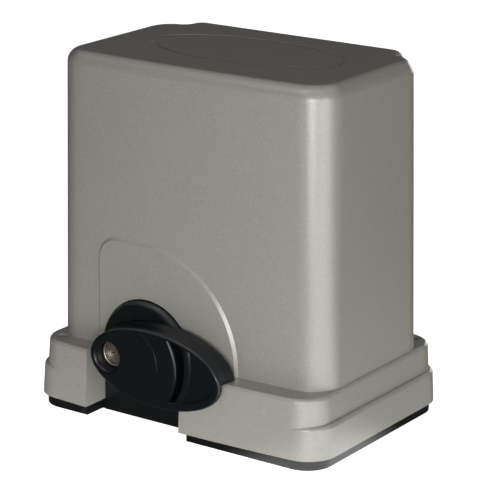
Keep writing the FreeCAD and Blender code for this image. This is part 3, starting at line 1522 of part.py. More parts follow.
# ---------------------------------------------------------------- output
def all_parts():
    return {
        "cover": make_cover(),
        "cover_screws": make_cover_screws(),
        "gear_housing": make_gear_housing(),
        "rear_bearing_cover": make_rear_bearing_cover(),
        "rear_cover_screws": make_rear_cover_screws(),
        "oil_seal": make_oil_seal(),
        "front_shaft_bearing": make_front_shaft_bearing(),
        "rear_shaft_bearing": make_rear_shaft_bearing(),
        "output_shaft": make_output_shaft(),
        "shaft_key": make_shaft_key(),
        "shaft_spacer": make_shaft_spacer(),
        "drive_pinion": make_drive_pinion(),
        "pinion_spacer": make_pinion_spacer(),
        "pinion_washer": make_pinion_washer(),
        "pinion_screw": make_pinion_screw(),
        "worm_wheel": make_worm_wheel(),
        "wheel_bush": make_wheel_bush(),
        "clutch_sleeve": make_clutch_sleeve(),
        "clutch_pin": make_clutch_pin(),
        "clutch_spring": make_clutch_spring(),
        "release_spindle": make_release_spindle(),
        "cam_follower": make_cam_follower(),
        "release_rod": make_release_rod(),
        "release_handle": make_release_handle(),
        "handle_pin": make_handle_pin(),
        "lock_barrel": make_lock_barrel(),
        "lock_ring": make_lock_ring(),
        "lock_plug": make_lock_plug(),
        "lock_cam": make_lock_cam(),
        "worm_shaft": make_worm_shaft(),
        "worm_lower_bearing": make_bearing_z(lower_bearing_radius, lower_journal_radius,
                                             lower_bearing_width, worm_bottom_y),
        "worm_upper_bearing": make_bearing_z(upper_bearing_radius, upper_journal_radius,
                                             upper_bearing_width, upper_bearing_z),
        "motor_top_bearing": make_bearing_z(lower_bearing_radius, lower_journal_radius,
                                            top_bearing_width, top_bearing_z),
        "motor_flange": make_motor_flange(),
        "motor_flange_screws": make_motor_flange_screws(),
        "stator_core": make_stator_core(),
        "stator_winding": make_stator_winding(),
        "rotor_core": make_rotor_core(),
        "motor_top_shield": make_motor_top_shield(),
        "motor_through_bolts": make_motor_through_bolts(),
        "board_bracket": make_board_bracket(),
        "bracket_screws": make_bracket_screws(),
        "control_board": make_control_board(),
        "board_standoffs": make_board_standoffs(),
        "relays": make_relays(),
        "terminal_blocks": make_terminal_blocks(),
        "processor": make_processor(),
        "transformer": make_transformer(),
        "run_capacitor": make_run_capacitor(),
        "capacitor_clamp": make_capacitor_clamp(),
        "sensor_bracket": make_sensor_bracket(),
        "limit_sensor": make_limit_sensor(),
        "cable_grommet": make_cable_grommet(),
    }


os.makedirs("parts", exist_ok=True)
for name, shape in all_parts().items():
    if not shape.isValid():
        print("not valid:", name)
    shape.exportStep(os.path.join("parts", name + ".step"))
    size = shape.BoundBox
    print("%-22s solids %d  volume %9.0f  x %.1f..%.1f y %.1f..%.1f z %.1f..%.1f" % (
        name, len(shape.Solids), shape.Volume, size.XMin, size.XMax, size.YMin, size.YMax,
        size.ZMin, size.ZMax))
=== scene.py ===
import bpy
import bmesh
import json
import math
from mathutils import Matrix, Vector


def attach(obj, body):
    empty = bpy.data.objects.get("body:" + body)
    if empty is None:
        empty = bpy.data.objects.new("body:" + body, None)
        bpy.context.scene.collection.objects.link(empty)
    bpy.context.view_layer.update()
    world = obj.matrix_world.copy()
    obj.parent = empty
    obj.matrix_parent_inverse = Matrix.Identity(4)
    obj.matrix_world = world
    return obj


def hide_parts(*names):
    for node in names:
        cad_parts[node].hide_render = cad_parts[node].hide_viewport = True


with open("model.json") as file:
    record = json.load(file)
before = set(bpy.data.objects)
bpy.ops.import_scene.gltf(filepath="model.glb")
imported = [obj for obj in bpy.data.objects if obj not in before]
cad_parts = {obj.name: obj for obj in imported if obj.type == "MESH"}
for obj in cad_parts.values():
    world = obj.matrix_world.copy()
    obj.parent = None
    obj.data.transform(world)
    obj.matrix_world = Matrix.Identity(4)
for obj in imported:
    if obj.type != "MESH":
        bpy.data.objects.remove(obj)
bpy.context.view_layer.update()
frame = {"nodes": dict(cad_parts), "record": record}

# Blender works in metres, and the sizes named below are in millimetres.
# X runs to the right along the front, Y to the rear, Z up.
MM = 0.001


# ---------------------------------------------------------------- camera, light and floor
def look_from(obj, place, target):
    obj.location = place
    obj.rotation_mode = "QUATERNION"
    obj.rotation_quaternion = (Vector(target) - Vector(place)).to_track_quat("-Z", "Y")


def make_camera():
    data = bpy.data.cameras.new("camera")
    data.lens = 176.9
    data.sensor_width = 36.0
    data.clip_start = 0.05
    data.clip_end = 50.0
    camera = bpy.data.objects.new("camera", data)
    bpy.context.scene.collection.objects.link(camera)
    look_from(camera, (1.0799, -1.5168, 0.7033), (-0.0058, 0.0114, 0.1399))
    bpy.context.scene.camera = camera


def area_light(name, azimuth, elevation, distance, size, power, colour):
    """Soft light; azimuth 0 is straight in front and grows towards the right."""
    data = bpy.data.lights.new(name, "AREA")
    data.shape = "DISK"
    data.size = size
    data.energy = power
    data.color = colour
    light = bpy.data.objects.new(name, data)
    bpy.context.scene.collection.objects.link(light)
    side, up = math.radians(azimuth), math.radians(elevation)
    middle = Vector((0.0, 0.0, 0.13))
    away = Vector((math.sin(side) * math.cos(up), -math.cos(side) * math.cos(up), math.sin(up)))
    look_from(light, middle + away * distance, middle)


def make_world():
    """White behind the object, dim for its light; glossy surfaces also see a pale ceiling."""
    world = bpy.data.worlds.new("room")
    bpy.context.scene.world = world
    world.use_nodes = True
    nodes, links = world.node_tree.nodes, world.node_tree.links
    nodes.clear()
    out = nodes.new("ShaderNodeOutputWorld")
    path = nodes.new("ShaderNodeLightPath")
    way = nodes.new("ShaderNodeTexCoord")
    parts = nodes.new("ShaderNodeSeparateXYZ")
    ceiling = nodes.new("ShaderNodeMapRange")
    ceiling.interpolation_type = "SMOOTHSTEP"
    links.new(way.outputs["Generated"], parts.inputs[0])
    links.new(parts.outputs["Z"], ceiling.inputs["Value"])
    for title, value in (("From Min", 0.40), ("From Max", 0.85), ("To Min", 0.03), ("To Max", 0.85)):
        ceiling.inputs[title].default_value = value
    glossy = nodes.new("ShaderNodeMix")
    direct = nodes.new("ShaderNodeMix")
    glossy.inputs["A"].default_value = 0.055
    direct.inputs["B"].default_value = 1.0
    links.new(path.outputs["Is Glossy Ray"], glossy.inputs["Factor"])
    links.new(ceiling.outputs["Result"], glossy.inputs["B"])
    links.new(path.outputs["Is Camera Ray"], direct.inputs["Factor"])
    links.new(glossy.outputs["Result"], direct.inputs["A"])
    glow = nodes.new("ShaderNodeBackground")
    glow.inputs["Color"].default_value = (1.0, 1.0, 1.0, 1.0)
    links.new(direct.outputs["Result"], glow.inputs["Strength"])
    links.new(glow.outputs[0], out.inputs["Surface"])


def make_floor():
    mesh = bpy.data.meshes.new("floor")
    bm = bmesh.new()
    bmesh.ops.create_grid(bm, x_segments=1, y_segments=1, size=8.0)
    bm.to_mesh(mesh)
    bm.free()
    floor = bpy.data.objects.new("floor", mesh)
    bpy.context.scene.collection.objects.link(floor)
    material = bpy.data.materials.new("pale_floor")
    material.use_nodes = True
    nodes, links = material.node_tree.nodes, material.node_tree.links
    nodes.clear()
    out = nodes.new("ShaderNodeOutputMaterial")
    add = nodes.new("ShaderNodeAddShader")
    diffuse = nodes.new("ShaderNodeBsdfDiffuse")
    glow = nodes.new("ShaderNodeEmission")
    path = nodes.new("ShaderNodeLightPath")
    place = nodes.new("ShaderNodeTexCoord")
    reach = nodes.new("ShaderNodeVectorMath")
    fade = nodes.new("ShaderNodeMapRange")
    reach.operation = "LENGTH"
    links.new(place.outputs["Object"], reach.inputs[0])
    # Light that a white floor throws back onto the foot of the object, fading away from it.
    links.new(reach.outputs["Value"], fade.inputs["Value"])
    fade.inputs["From Min"].default_value = 0.20
    fade.inputs["From Max"].default_value = 0.46
    fade.inputs["To Min"].default_value = 0.80
    fade.inputs["To Max"].default_value = 0.0
    # Seen directly the floor is white; glossy surfaces see a dark room with a bright patch on the right.
    parts = nodes.new("ShaderNodeSeparateXYZ")
    links.new(place.outputs["Object"], parts.inputs[0])
    ahead = math_node(nodes, links, "MULTIPLY", parts.outputs["Y"], -1.0)
    around = math_node(nodes, links, "ARCTAN2", parts.outputs["X"], ahead)
    sweep = []
    for start, end in ((0.45, 0.85), (1.85, 1.35)):
        edge = nodes.new("ShaderNodeMapRange")
        edge.interpolation_type = "SMOOTHSTEP"
        links.new(around, edge.inputs["Value"])
        edge.inputs["From Min"].default_value = start
        edge.inputs["From Max"].default_value = end
        sweep.append(edge.outputs["Result"])
    patch = math_node(nodes, links, "MULTIPLY", sweep[0], sweep[1])
    patch = math_node(nodes, links, "MULTIPLY_ADD", patch, 2.3, 0.03)
    seen, mirrored = path.outputs["Is Camera Ray"], path.outputs["Is Glossy Ray"]
    for target, thrown, glossy, direct in ((diffuse.inputs["Color"], 0.85, 0.12, 0.85),
                                           (glow.inputs["Strength"], fade.outputs["Result"], patch, 1.0)):
        dull = nodes.new("ShaderNodeMix")
        choose = nodes.new("ShaderNodeMix")
        links.new(mirrored, dull.inputs["Factor"])
        for socket, value in ((dull.inputs["A"], thrown), (dull.inputs["B"], glossy)):
            if isinstance(value, float):
                socket.default_value = value
            else:
                links.new(value, socket)
        links.new(seen, choose.inputs["Factor"])
        links.new(dull.outputs["Result"], choose.inputs["A"])
        choose.inputs["B"].default_value = direct
        links.new(choose.outputs["Result"], target)
    links.new(diffuse.outputs[0], add.inputs[0])
    links.new(glow.outputs[0], add.inputs[1])
    links.new(add.outputs[0], out.inputs["Surface"])
    mesh.materials.append(material)


# ---------------------------------------------------------------- shared node groups
def new_group(name, ins, outs):
    group = bpy.data.node_groups.new(name, "ShaderNodeTree")
    for title, kind, value in ins:
        socket = group.interface.new_socket(name=title, in_out="INPUT", socket_type=kind)
        if value is not None:
            socket.default_value = value
    for title, kind in outs:
        group.interface.new_socket(name=title, in_out="OUTPUT", socket_type=kind)
    return group, group.nodes.new("NodeGroupInput"), group.nodes.new("NodeGroupOutput")


def noise(nodes, links, vector, scale, detail=2.0, rough=0.5):
    node = nodes.new("ShaderNodeTexNoise")
    node.inputs["Detail"].default_value = detail
    node.inputs["Roughness"].default_value = rough
    links.new(vector, node.inputs["Vector"])
    if isinstance(scale, float):
        node.inputs["Scale"].default_value = scale
    else:
        links.new(scale, node.inputs["Scale"])
    return node.outputs["Fac"]


def math_node(nodes, links, operation, first, second, third=None):
    node = nodes.new("ShaderNodeMath")
    node.operation = operation
    for index, value in enumerate((first, second, third)):
        if value is None:
            continue
        if isinstance(value, (int, float)):
            node.inputs[index].default_value = value
        else:
            links.new(value, node.inputs[index])
    return node.outputs[0]


def colour_mix(nodes, links, share, low, high, mode="MIX"):
    node = nodes.new("ShaderNodeMix")
    node.data_type = "RGBA"
    node.blend_type = mode
    for socket, value in ((node.inputs[0], share), (node.inputs[6], low), (node.inputs[7], high)):
        if isinstance(value, (int, float, tuple)):
            socket.default_value = value
        else:
            links.new(value, socket)
    return node.outputs[2]


def make_finish_group():
    """Grain, patches and dust of a moulded, cast or painted surface; on the lock's chrome the dark patches
    and specks are painted mottled reflection.
    """
    group, inside, outside = new_group("surface_finish", [
        ("Vector", "NodeSocketVector", None), ("Colour", "NodeSocketColor", (0.5, 0.5, 0.5, 1)),
        ("Patch colour", "NodeSocketColor", (0.4, 0.4, 0.4, 1)), ("Patch scale", "NodeSocketFloat", 30.0),
        ("Patch share", "NodeSocketFloat", 0.4), ("Speck", "NodeSocketFloat", 0.05),
        ("Grain scale", "NodeSocketFloat", 1500.0), ("Grain height", "NodeSocketFloat", 0.1),
        ("Roughness", "NodeSocketFloat", 0.5), ("Roughness swing", "NodeSocketFloat", 0.1),
    ], [("Colour", "NodeSocketColor"), ("Roughness", "NodeSocketFloat"), ("Normal", "NodeSocketVector")])
    nodes, links = group.nodes, group.links
    vector = inside.outputs["Vector"]
    patches = noise(nodes, links, vector, inside.outputs["Patch scale"], 4.0, 0.6)
    grain = noise(nodes, links, vector, inside.outputs["Grain scale"], 2.0, 0.55)
    share = math_node(nodes, links, "MULTIPLY", patches, inside.outputs["Patch share"])
    colour = colour_mix(nodes, links, share, inside.outputs["Colour"], inside.outputs["Patch colour"])
    speck = math_node(nodes, links, "MULTIPLY_ADD", grain, inside.outputs["Speck"], 1.0)
    speck = math_node(nodes, links, "MULTIPLY_ADD", inside.outputs["Speck"], -0.5, speck)
    value = nodes.new("ShaderNodeCombineColor")
    for index in range(3):
        links.new(speck, value.inputs[index])
    links.new(colour_mix(nodes, links, 1.0, colour, value.outputs[0], "MULTIPLY"), outside.inputs["Colour"])
    swing = math_node(nodes, links, "SUBTRACT", patches, 0.5)
    rough = math_node(nodes, links, "MULTIPLY_ADD", swing, inside.outputs["Roughness swing"],
                      inside.outputs["Roughness"])
    links.new(rough, outside.inputs["Roughness"])
    bump = nodes.new("ShaderNodeBump")
    bump.inputs["Distance"].default_value = 0.0002
    links.new(inside.outputs["Grain height"], bump.inputs["Strength"])
    links.new(grain, bump.inputs["Height"])
    links.new(bump.outputs["Normal"], outside.inputs["Normal"])
    return group


def finish_material(name, colour, patch, patch_scale, patch_share, speck, grain, height, roughness, swing,
                    metallic, specular):
    material = bpy.data.materials.new(name)
    material.use_nodes = True
    nodes, links = material.node_tree.nodes, material.node_tree.links
    nodes.clear()
    out = nodes.new("ShaderNodeOutputMaterial")
    shader = nodes.new("ShaderNodeBsdfPrincipled")
    place = nodes.new("ShaderNodeTexCoord")
    finish = nodes.new("ShaderNodeGroup")
    finish.node_tree = groups["finish"]
    links.new(place.outputs["Object"], finish.inputs["Vector"])
    finish.inputs["Colour"].default_value = (*colour, 1.0)
    finish.inputs["Patch colour"].default_value = (*patch, 1.0)
    for title, value in (("Patch scale", patch_scale), ("Patch share", patch_share), ("Speck", speck),
                         ("Grain scale", grain), ("Grain height", height), ("Roughness", roughness),
                         ("Roughness swing", swing)):
        finish.inputs[title].default_value = value
    links.new(finish.outputs["Colour"], shader.inputs["Base Color"])
    links.new(finish.outputs["Roughness"], shader.inputs["Roughness"])
    links.new(finish.outputs["Normal"], shader.inputs["Normal"])
    shader.inputs["Metallic"].default_value = metallic
    shader.inputs["Specular IOR Level"].default_value = specular
    links.new(shader.outputs[0], out.inputs["Surface"])
    return material


FINISHES = {
    # colour, patch colour, patch scale, patch share, speck, grain scale, grain height,
    # roughness, its swing, metallic
    "cover_plastic": ((0.33, 0.325, 0.295), (0.30, 0.295, 0.268),
                      45.0, 0.5, 0.52, 800.0, 0.5, 0.31, 0.08, 0.0),
    "cast_black": ((0.0028, 0.0045, 0.0052), (0.0045, 0.0065, 0.0075),
                   60.0, 0.6, 0.2, 900.0, 0.3, 0.36, 0.08, 0.0),
    "handle_plastic": ((0.0028, 0.0052, 0.0068), (0.0040, 0.0065, 0.0085),
                       50.0, 0.5, 0.3, 1000.0, 0.15, 0.30, 0.06, 0.0),
    "steel": ((0.42, 0.42, 0.43), (0.30, 0.30, 0.31), 80.0, 0.5, 0.1, 1800.0, 0.15, 0.32, 0.15, 1.0),
    "zinc_steel": ((0.52, 0.52, 0.50), (0.40, 0.41, 0.42), 120.0, 0.6, 0.1, 1500.0, 0.15, 0.35, 0.15, 1.0),
    # Lock chrome: the dark patch colour and the strong specks are painted mottled reflection, not the
    # metal's own colour.
    "lock_chrome": ((0.95, 0.86, 0.76), (0.15, 0.12, 0.10), 700.0, 0.95, 0.9, 1300.0, 0.9, 0.42, 0.3, 1.0),
    "bronze": ((0.50, 0.30, 0.12), (0.36, 0.21, 0.08), 90.0, 0.5, 0.1, 1500.0, 0.15, 0.35, 0.15, 1.0),
    "rubber": ((0.012, 0.012, 0.012), (0.022, 0.021, 0.02), 150.0, 0.5, 0.2, 900.0, 0.3, 0.7, 0.1, 0.0),
    "aluminium": ((0.55, 0.56, 0.57), (0.45, 0.46, 0.47), 60.0, 0.6, 0.15, 500.0, 0.7, 0.5, 0.1, 1.0),
    "lamination": ((0.16, 0.16, 0.17), (0.10, 0.10, 0.11), 100.0, 0.6, 0.2, 1200.0, 0.4, 0.45, 0.1, 1.0),
    "winding": ((0.33, 0.10, 0.03), (0.20, 0.06, 0.02), 120.0, 0.6, 0.3, 900.0, 0.6, 0.3, 0.1, 0.6),
    "board": ((0.01, 0.10, 0.03), (0.02, 0.15, 0.05), 200.0, 0.6, 0.1, 900.0, 0.3, 0.3, 0.1, 0.0),
    "black_plastic": ((0.014, 0.014, 0.016), (0.02, 0.02, 0.02),
                      100.0, 0.5, 0.1, 1500.0, 0.2, 0.45, 0.1, 0.0),
    "terminal_green": ((0.02, 0.16, 0.05), (0.015, 0.12, 0.04), 120.0, 0.5, 0.1, 1500.0, 0.2, 0.4, 0.1, 0.0),
    "capacitor_white": ((0.62, 0.62, 0.60), (0.55, 0.55, 0.52),
                        80.0, 0.5, 0.05, 1500.0, 0.1, 0.35, 0.1, 0.0),
}
SHINE = {"cover_plastic": 0.9, "handle_plastic": 0.4}


def make_materials():
    return {name: finish_material(name, *values, specular=SHINE.get(name, 0.5))
            for name, values in FINISHES.items()}


# ---------------------------------------------------------------- sizes of the cover, in millimetres
foot_height = 9.0
cover_height = 301.0
cover_wall = 3.0
cover_half_x = 135.0
cover_front_y = -78.9
cover_rear_y = 79.1
cover_corner = 27.0
cover_bow_radius = 2010.0
cover_draft = math.tan(math.radians(0.825))
cover_top_round = 11.0
bulge_half_x = 112.0
bulge_rear_y = 97.0
bulge_round = 16.0
bulge_hollow = 3.0
ledge_z = 58.3
skirt_half_x = 140.4
skirt_front_y = -101.4
skirt_rear_y = 96.4
skirt_corner = 25.8
skirt_bow_radius = 1660.0
skirt_draft = math.tan(math.radians(3.0))
skirt_round = 3.0
band_half_x = 144.5
band_height = 27.0
oval_half_x = 92.5
oval_x = 1.5
oval_half_y = 45.0
oval_depth = 1.5
oval_sink = 0.2
oval_groove = 4.6
oval_y = 12.05
panel_height = 1.8
panel_slope_width = 2.6
panel_corner = 20.0
panel_root = 2.0
shaft_x = -34.0
shaft_z = 61.0
panel_sweep = 92.0
panel_middle_x = -36.0
panel_left_x = -86.0
notch_left_x = -83.8
notch_right_x = 13.4
notch_back_y = -74.9
apron_top_z = 48.9
well_radius = 59.6
well_low_z = 33.0
well_floor_y = -85.3
arch_radius = 45.4
rear_arch_radius = 26.9
screw_recess_radius = 4.9
screw_recess_depth = 6.0
screw_boss_radius = 7.5
screw_hole_radius = 2.7
screw_places = [(-123.4, -79.5), (120.0, 86.0)]
lip_width = 8.0
lip_height = 3.0
front_cut_y = notch_back_y + 12.0
rear_cut_front_y = 60.0
rear_cut_back_y = 105.0


# ---------------------------------------------------------------- solids for the cover
def link(title, mesh):
    obj = bpy.data.objects.new(title, mesh)
    bpy.context.scene.collection.objects.link(obj)
    return obj


def arc_points(cx, cy, radius, first, last, steps):
    turns = [math.radians(first + (last - first) * index / steps) for index in range(steps + 1)]
    return [(cx + radius * math.cos(turn), cy + radius * math.sin(turn)) for turn in turns]


def without_doubles(points):
    kept = []
    for point in points:
        if not kept or math.dist(point, kept[-1]) > 1e-4:
            kept.append(point)
    if math.dist(kept[0], kept[-1]) < 1e-4:
        kept.pop()
    return kept


def bowed_loop(half_x, front_y, rear_y, corner, bow_radius, bulge=None):
    """Rounded rectangle whose front bows out; bulge deepens the middle of its rear."""
    cx = half_x - corner
    lean = math.degrees(math.asin(cx / (bow_radius - corner)))
    cy = front_y + bow_radius - math.sqrt((bow_radius - corner) ** 2 - cx ** 2)
    points = arc_points(0, front_y + bow_radius, bow_radius, -90 - lean, -90 + lean, 24)
    points += arc_points(cx, cy, corner, -90 + lean, 0, 12)
    meet = 90.0
    if bulge:
        bulge_x, bulge_y, convex, concave = bulge
        inner_x = bulge_x + concave
        reach = math.sqrt((corner + concave) ** 2 - (inner_x - cx) ** 2)
        inner_y = rear_y - corner + reach
        meet = math.degrees(math.atan2(reach, inner_x - cx))
    points += arc_points(cx, rear_y - corner, corner, 0, meet, 12)
    if bulge:
        points += arc_points(inner_x, inner_y, concave, 180 + meet, 180, 8)
        points += arc_points(bulge_x - convex, bulge_y - convex, convex, 0, 90, 8)
        points += arc_points(convex - bulge_x, bulge_y - convex, convex, 90, 180, 8)
        points += arc_points(-inner_x, inner_y, concave, 0, -meet, 8)
    points += arc_points(-cx, rear_y - corner, corner, 180 - meet, 180, 12)
    points += arc_points(-cx, cy, corner, 180, 270 - lean, 12)
    return without_doubles(points)


def box_part_loop(z, inset):
    shift = (z - ledge_z) * cover_draft + inset
    bulge = (bulge_half_x - shift, bulge_rear_y - shift, bulge_round - inset, bulge_hollow + inset)
    return bowed_loop(cover_half_x - shift, cover_front_y + shift, cover_rear_y - shift,
                      cover_corner - inset, cover_bow_radius - inset, bulge)


def skirt_loop(z, half_x, inset):
    shift = (z - foot_height) * skirt_draft + inset
    return bowed_loop(half_x - shift, skirt_front_y + shift, skirt_rear_y - inset, skirt_corner - inset,
                      skirt_bow_radius - inset)


def finished(title, bm):
    """Object made of a worked bmesh, its faces turned outwards."""
    bmesh.ops.recalc_face_normals(bm, faces=bm.faces)
    mesh = bpy.data.meshes.new(title)
    bm.to_mesh(mesh)
    bm.free()
    return link(title, mesh)


def extruded(title, loops):
    """Closed solid: the face of the first loop, extruded to each next loop of as many points."""
    bm = bmesh.new()
    face = bm.faces.new([bm.verts.new(Vector(point) * MM) for point in loops[0]])
    for step, loop in enumerate(loops[1:]):
        grown = bmesh.ops.extrude_face_region(bm, geom=[face])["geom"]
        if step:
            # only the first face stays, as the solid's other end
            bm.faces.remove(face)
        face = next(part for part in grown if isinstance(part, bmesh.types.BMFace))
        for vertex, point in zip(face.verts, loop):
            vertex.co = Vector(point) * MM
    return finished(title, bm)


def stacked_solid(title, sections):
    """Solid whose sections are each a flat loop and its height."""
    return extruded(title, [[(x, y, z) for x, y in loop] for loop, z in sections])


def rounded_sections(loop_at, low, top, inset, rounding, steps):
    """Sections from low to top whose upper edge is rounded over."""
    sections = [(loop_at(low, inset), low)]
    for index in range(steps + 1):
        turn = math.radians(90.0 * index / steps)
        z = top - rounding + rounding * math.sin(turn)
        sections.append((loop_at(z, inset + rounding * (1 - math.cos(turn))), z))
    return sections


def box_part(title, low, inset):
    rounding = cover_top_round - inset
    sections = rounded_sections(box_part_loop, low, cover_height - inset, inset, rounding, 9)
    return stacked_solid(title, sections)


def skirt_part(title, half_x, low, top, inset, rounding):
    def loop_at(z, at_inset):
        return skirt_loop(z, half_x, at_inset)
    if rounding:
        return stacked_solid(title, rounded_sections(loop_at, low, top, inset, rounding, 6))
    return stacked_solid(title, [(loop_at(low, inset), low), (loop_at(top, inset), top)])


def block(title, x0, x1, y0, y1, z0, z1):
    loop = [(x0, y0), (x1, y0), (x1, y1), (x0, y1)]
    return stacked_solid(title, [(loop, z0), (loop, z1)])


def pillar(title, x, y, radius, z0, z1, steps=48):
    loop = arc_points(x, y, radius, 0, 360, steps)[:-1]
    return stacked_solid(title, [(loop, z0), (loop, z1)])


def lying_rod(title, x, z, radius, y0, y1, steps=96):
    """Cylinder along Y."""
    rod = pillar(title, x, z, radius, -y1, -y0, steps)
    rod.data.transform(Matrix.Rotation(math.radians(90), 4, "X"))
    return rod


def joined(base, steps):
    """The mesh that comes of joining, cutting or overlapping a solid with others, in order."""
    for number, (operation, other) in enumerate(steps):
        step = base.modifiers.new("step_%d" % number, "BOOLEAN")
        step.operation = operation
        step.solver = "EXACT"
        step.object = other
    mesh = bpy.data.meshes.new_from_object(base.evaluated_get(bpy.context.evaluated_depsgraph_get()))
    base.modifiers.clear()
    base.data = mesh
    for operation, other in steps:
        bpy.data.objects.remove(other)
    return base


def panel_loop(spread):
    """The raised panel's edge: left side, top, and the sweep of the handle's tip."""
    left = panel_left_x - spread
    low = ledge_z - 6.0
    radius = panel_sweep + spread
    corner = panel_corner + spread
    start = math.degrees(math.asin((low - shaft_z) / radius))
    points = arc_points(panel_middle_x, shaft_z, radius, start, 90, 72)
    points += arc_points(left + corner, shaft_z + radius - corner, corner, 90, 180, 16)
    points.append((left, low))
    return without_doubles(points)


def front_skin_y(x, z):
    shift = (z - ledge_z) * cover_draft
    return cover_front_y + shift + cover_bow_radius - math.sqrt(cover_bow_radius ** 2 - x ** 2)


def panel_part():
    """Raised panel with sloping edges, its face an even height above the bowed front."""
    slope = panel_slope_width / panel_height
    loops = []
    for depth in (panel_root, -panel_height - panel_root):
        edge = panel_loop(slope * depth)
        loops.append([(x, front_skin_y(x, z) + depth, z) for x, z in edge])
    skin = stacked_solid("panel_skin", [(box_part_loop(z, -panel_height), z) for z in (ledge_z - 5, 180.0)])
    return joined(extruded("panel", loops), [("INTERSECT", skin)])


def notch_cutters(spread):
    """The front notch, and the well beside it that the handle's back turns in."""
    beside = block("beside", shaft_x, shaft_x + 2 * well_radius, skirt_front_y - 21,
                   well_floor_y + spread, well_low_z - spread, ledge_z + spread)
    well = lying_rod("well", shaft_x, shaft_z, well_radius + spread, skirt_front_y - 20,
                     well_floor_y + spread + 5.0)
    notch = block("notch", notch_left_x - spread, notch_right_x + spread, skirt_front_y - 20,
                  notch_back_y + spread, foot_height - 5, ledge_z + spread)
    return [notch, joined(well, [("INTERSECT", beside)])]


def cover_hollow():
    low = foot_height - 2.0
    hollow = box_part("hollow", low, cover_wall)
    steps = [("UNION", skirt_part("skirt_hollow", skirt_half_x, low, ledge_z - cover_wall, cover_wall, 0))]
    steps += [("DIFFERENCE", cutter) for cutter in notch_cutters(cover_wall)]
    steps += [("DIFFERENCE", pillar("screw_boss", x, y, screw_boss_radius, foot_height - 5, ledge_z))
              for x, y in screw_places]
    around = block("around", -band_half_x, band_half_x, skirt_front_y, skirt_rear_y, foot_height - 5,
                   foot_height + lip_height)
    within = skirt_part("within", skirt_half_x, foot_height - 6, foot_height + lip_height + 1, lip_width, 0)
    steps.append(("DIFFERENCE", joined(around, [("DIFFERENCE", within)])))
    return joined(hollow, steps)


def oval_block(title, inset, depth):
    oval = pillar(title, 0, 0, 1.0, cover_height - depth, cover_height + 5, 160)
    reach = Matrix.Diagonal((oval_half_x - inset, oval_half_y - inset, 1, 1))
    oval.data.transform(Matrix.Translation((oval_x * MM, oval_y * MM, 0)) @ reach)
    return oval


def make_cover():
    """The whole cover: shell, skirt, band and raised panel with every opening cut through."""
    low = foot_height
    cover = box_part("cover_shell", low + 10.0, 0)
    steps = [("UNION", skirt_part("skirt", skirt_half_x, low, ledge_z, 0, skirt_round)),
             ("UNION", skirt_part("band", band_half_x, low, low + band_height, 0, skirt_round)),
             ("UNION", panel_part()), ("DIFFERENCE", cover_hollow())]
    steps += [("DIFFERENCE", cutter) for cutter in notch_cutters(0)]
    steps.append(("DIFFERENCE", lying_rod("arch", shaft_x, shaft_z, arch_radius, skirt_front_y - 20,
                                          front_cut_y)))
    steps.append(("DIFFERENCE", block("arch_legs", shaft_x - arch_radius, shaft_x + arch_radius,
                                      skirt_front_y - 20, front_cut_y, low - 5, shaft_z)))
    steps.append(("DIFFERENCE", block("behind_notch", notch_left_x, notch_right_x, skirt_front_y - 20,
                                      front_cut_y, low - 5, apron_top_z)))
    steps.append(("DIFFERENCE", lying_rod("rear_arch", shaft_x, shaft_z, rear_arch_radius, rear_cut_front_y,
                                          rear_cut_back_y)))
    steps.append(("DIFFERENCE", block("rear_legs", shaft_x - rear_arch_radius, shaft_x + rear_arch_radius,
                                      rear_cut_front_y, rear_cut_back_y, low - 5, shaft_z)))
    for x, y in screw_places:
        steps.append(("DIFFERENCE", pillar("hole", x, y, screw_hole_radius, low - 5, ledge_z + 5)))
        steps.append(("DIFFERENCE", pillar("recess", x, y, screw_recess_radius, ledge_z - screw_recess_depth,
                                           ledge_z + 5)))
    middle = oval_block("oval_middle", oval_groove, oval_depth + 1.0)
    groove = joined(oval_block("oval_groove", 0.0, oval_depth), [("DIFFERENCE", middle)])
    steps.append(("DIFFERENCE", groove))
    steps.append(("DIFFERENCE", oval_block("oval", 0.3, oval_sink)))
    joined(cover, steps)
    return cover


# ---------------------------------------------------------------- release handle and lock, in millimetres
handle_x = -8.0
handle_z = 59.0
handle_half_length = 65.5
handle_half_height = 32.0
handle_tilt = math.radians(-2.5)
handle_front_y = -106.4
handle_rim_y = -105.9
handle_back_y = -86.0
handle_flare = 1.5
handle_lip = 2.0
handle_waist_y = -97.0
handle_round = 3.5
handle_web_y = -102.4
handle_deep_radius = 59.0
handle_gap = 0.7
hub_radius = 48.2
hub_edge_round = 3.0
dish_floor_y = -103.9
dish_rim = 5.5
dish_rise = 2.0
dish_round = 1.1
groove_x = -36.0
groove_z = 68.0
groove_radius = 58.2
groove_floor_y = -92.5
groove_lip_round = 0.8
bead_y = -105.5
bead_round = 7.0
bead_edge_round = 1.4
bead_depth = 2.3
ridge_radius = 30.0
ridge_height = 0.28
ridge_start = 62.0
ridge_turn = 78.0
lock_x = -55.7
lock_z = 61.1
lock_front_y = -96.3
lock_floor_y = -92.5
lock_recess_radius = 12.0
lock_recess_round = 3.2
lock_ring_radius = 11.4
lock_ring_round = 0.85
lock_bore_radius = 9.35
spindle_square = 5.05
spindle_front_y = -95.1
spigot_radius = 12.0
spigot_back_y = -80.4
plug_tail_y = -84.2


def along_y(obj):
    """Turns a solid stacked upwards so that its height runs forwards."""
    obj.data.transform(Matrix.Rotation(math.radians(90), 4, "X"))
    return obj


def lens_loop(grow, rise=0.0, steps=160):
    points = []
    for index in range(steps):
        turn = 2 * math.pi * index / steps
        x = (handle_half_length + grow) * math.cos(turn)
        z = (handle_half_height + grow) * math.sin(turn)
        points.append((handle_x + x * math.cos(handle_tilt) - z * math.sin(handle_tilt),
                       handle_z + rise + x * math.sin(handle_tilt) + z * math.cos(handle_tilt)))
    return points


def quarter(size, steps=8):
    """Steps of a quarter round, as how far it has gone in and up."""
    turns = [math.radians(90.0 * index / steps) for index in range(steps + 1)]
    return [(size * (1 - math.cos(turn)), size * math.sin(turn)) for turn in turns]


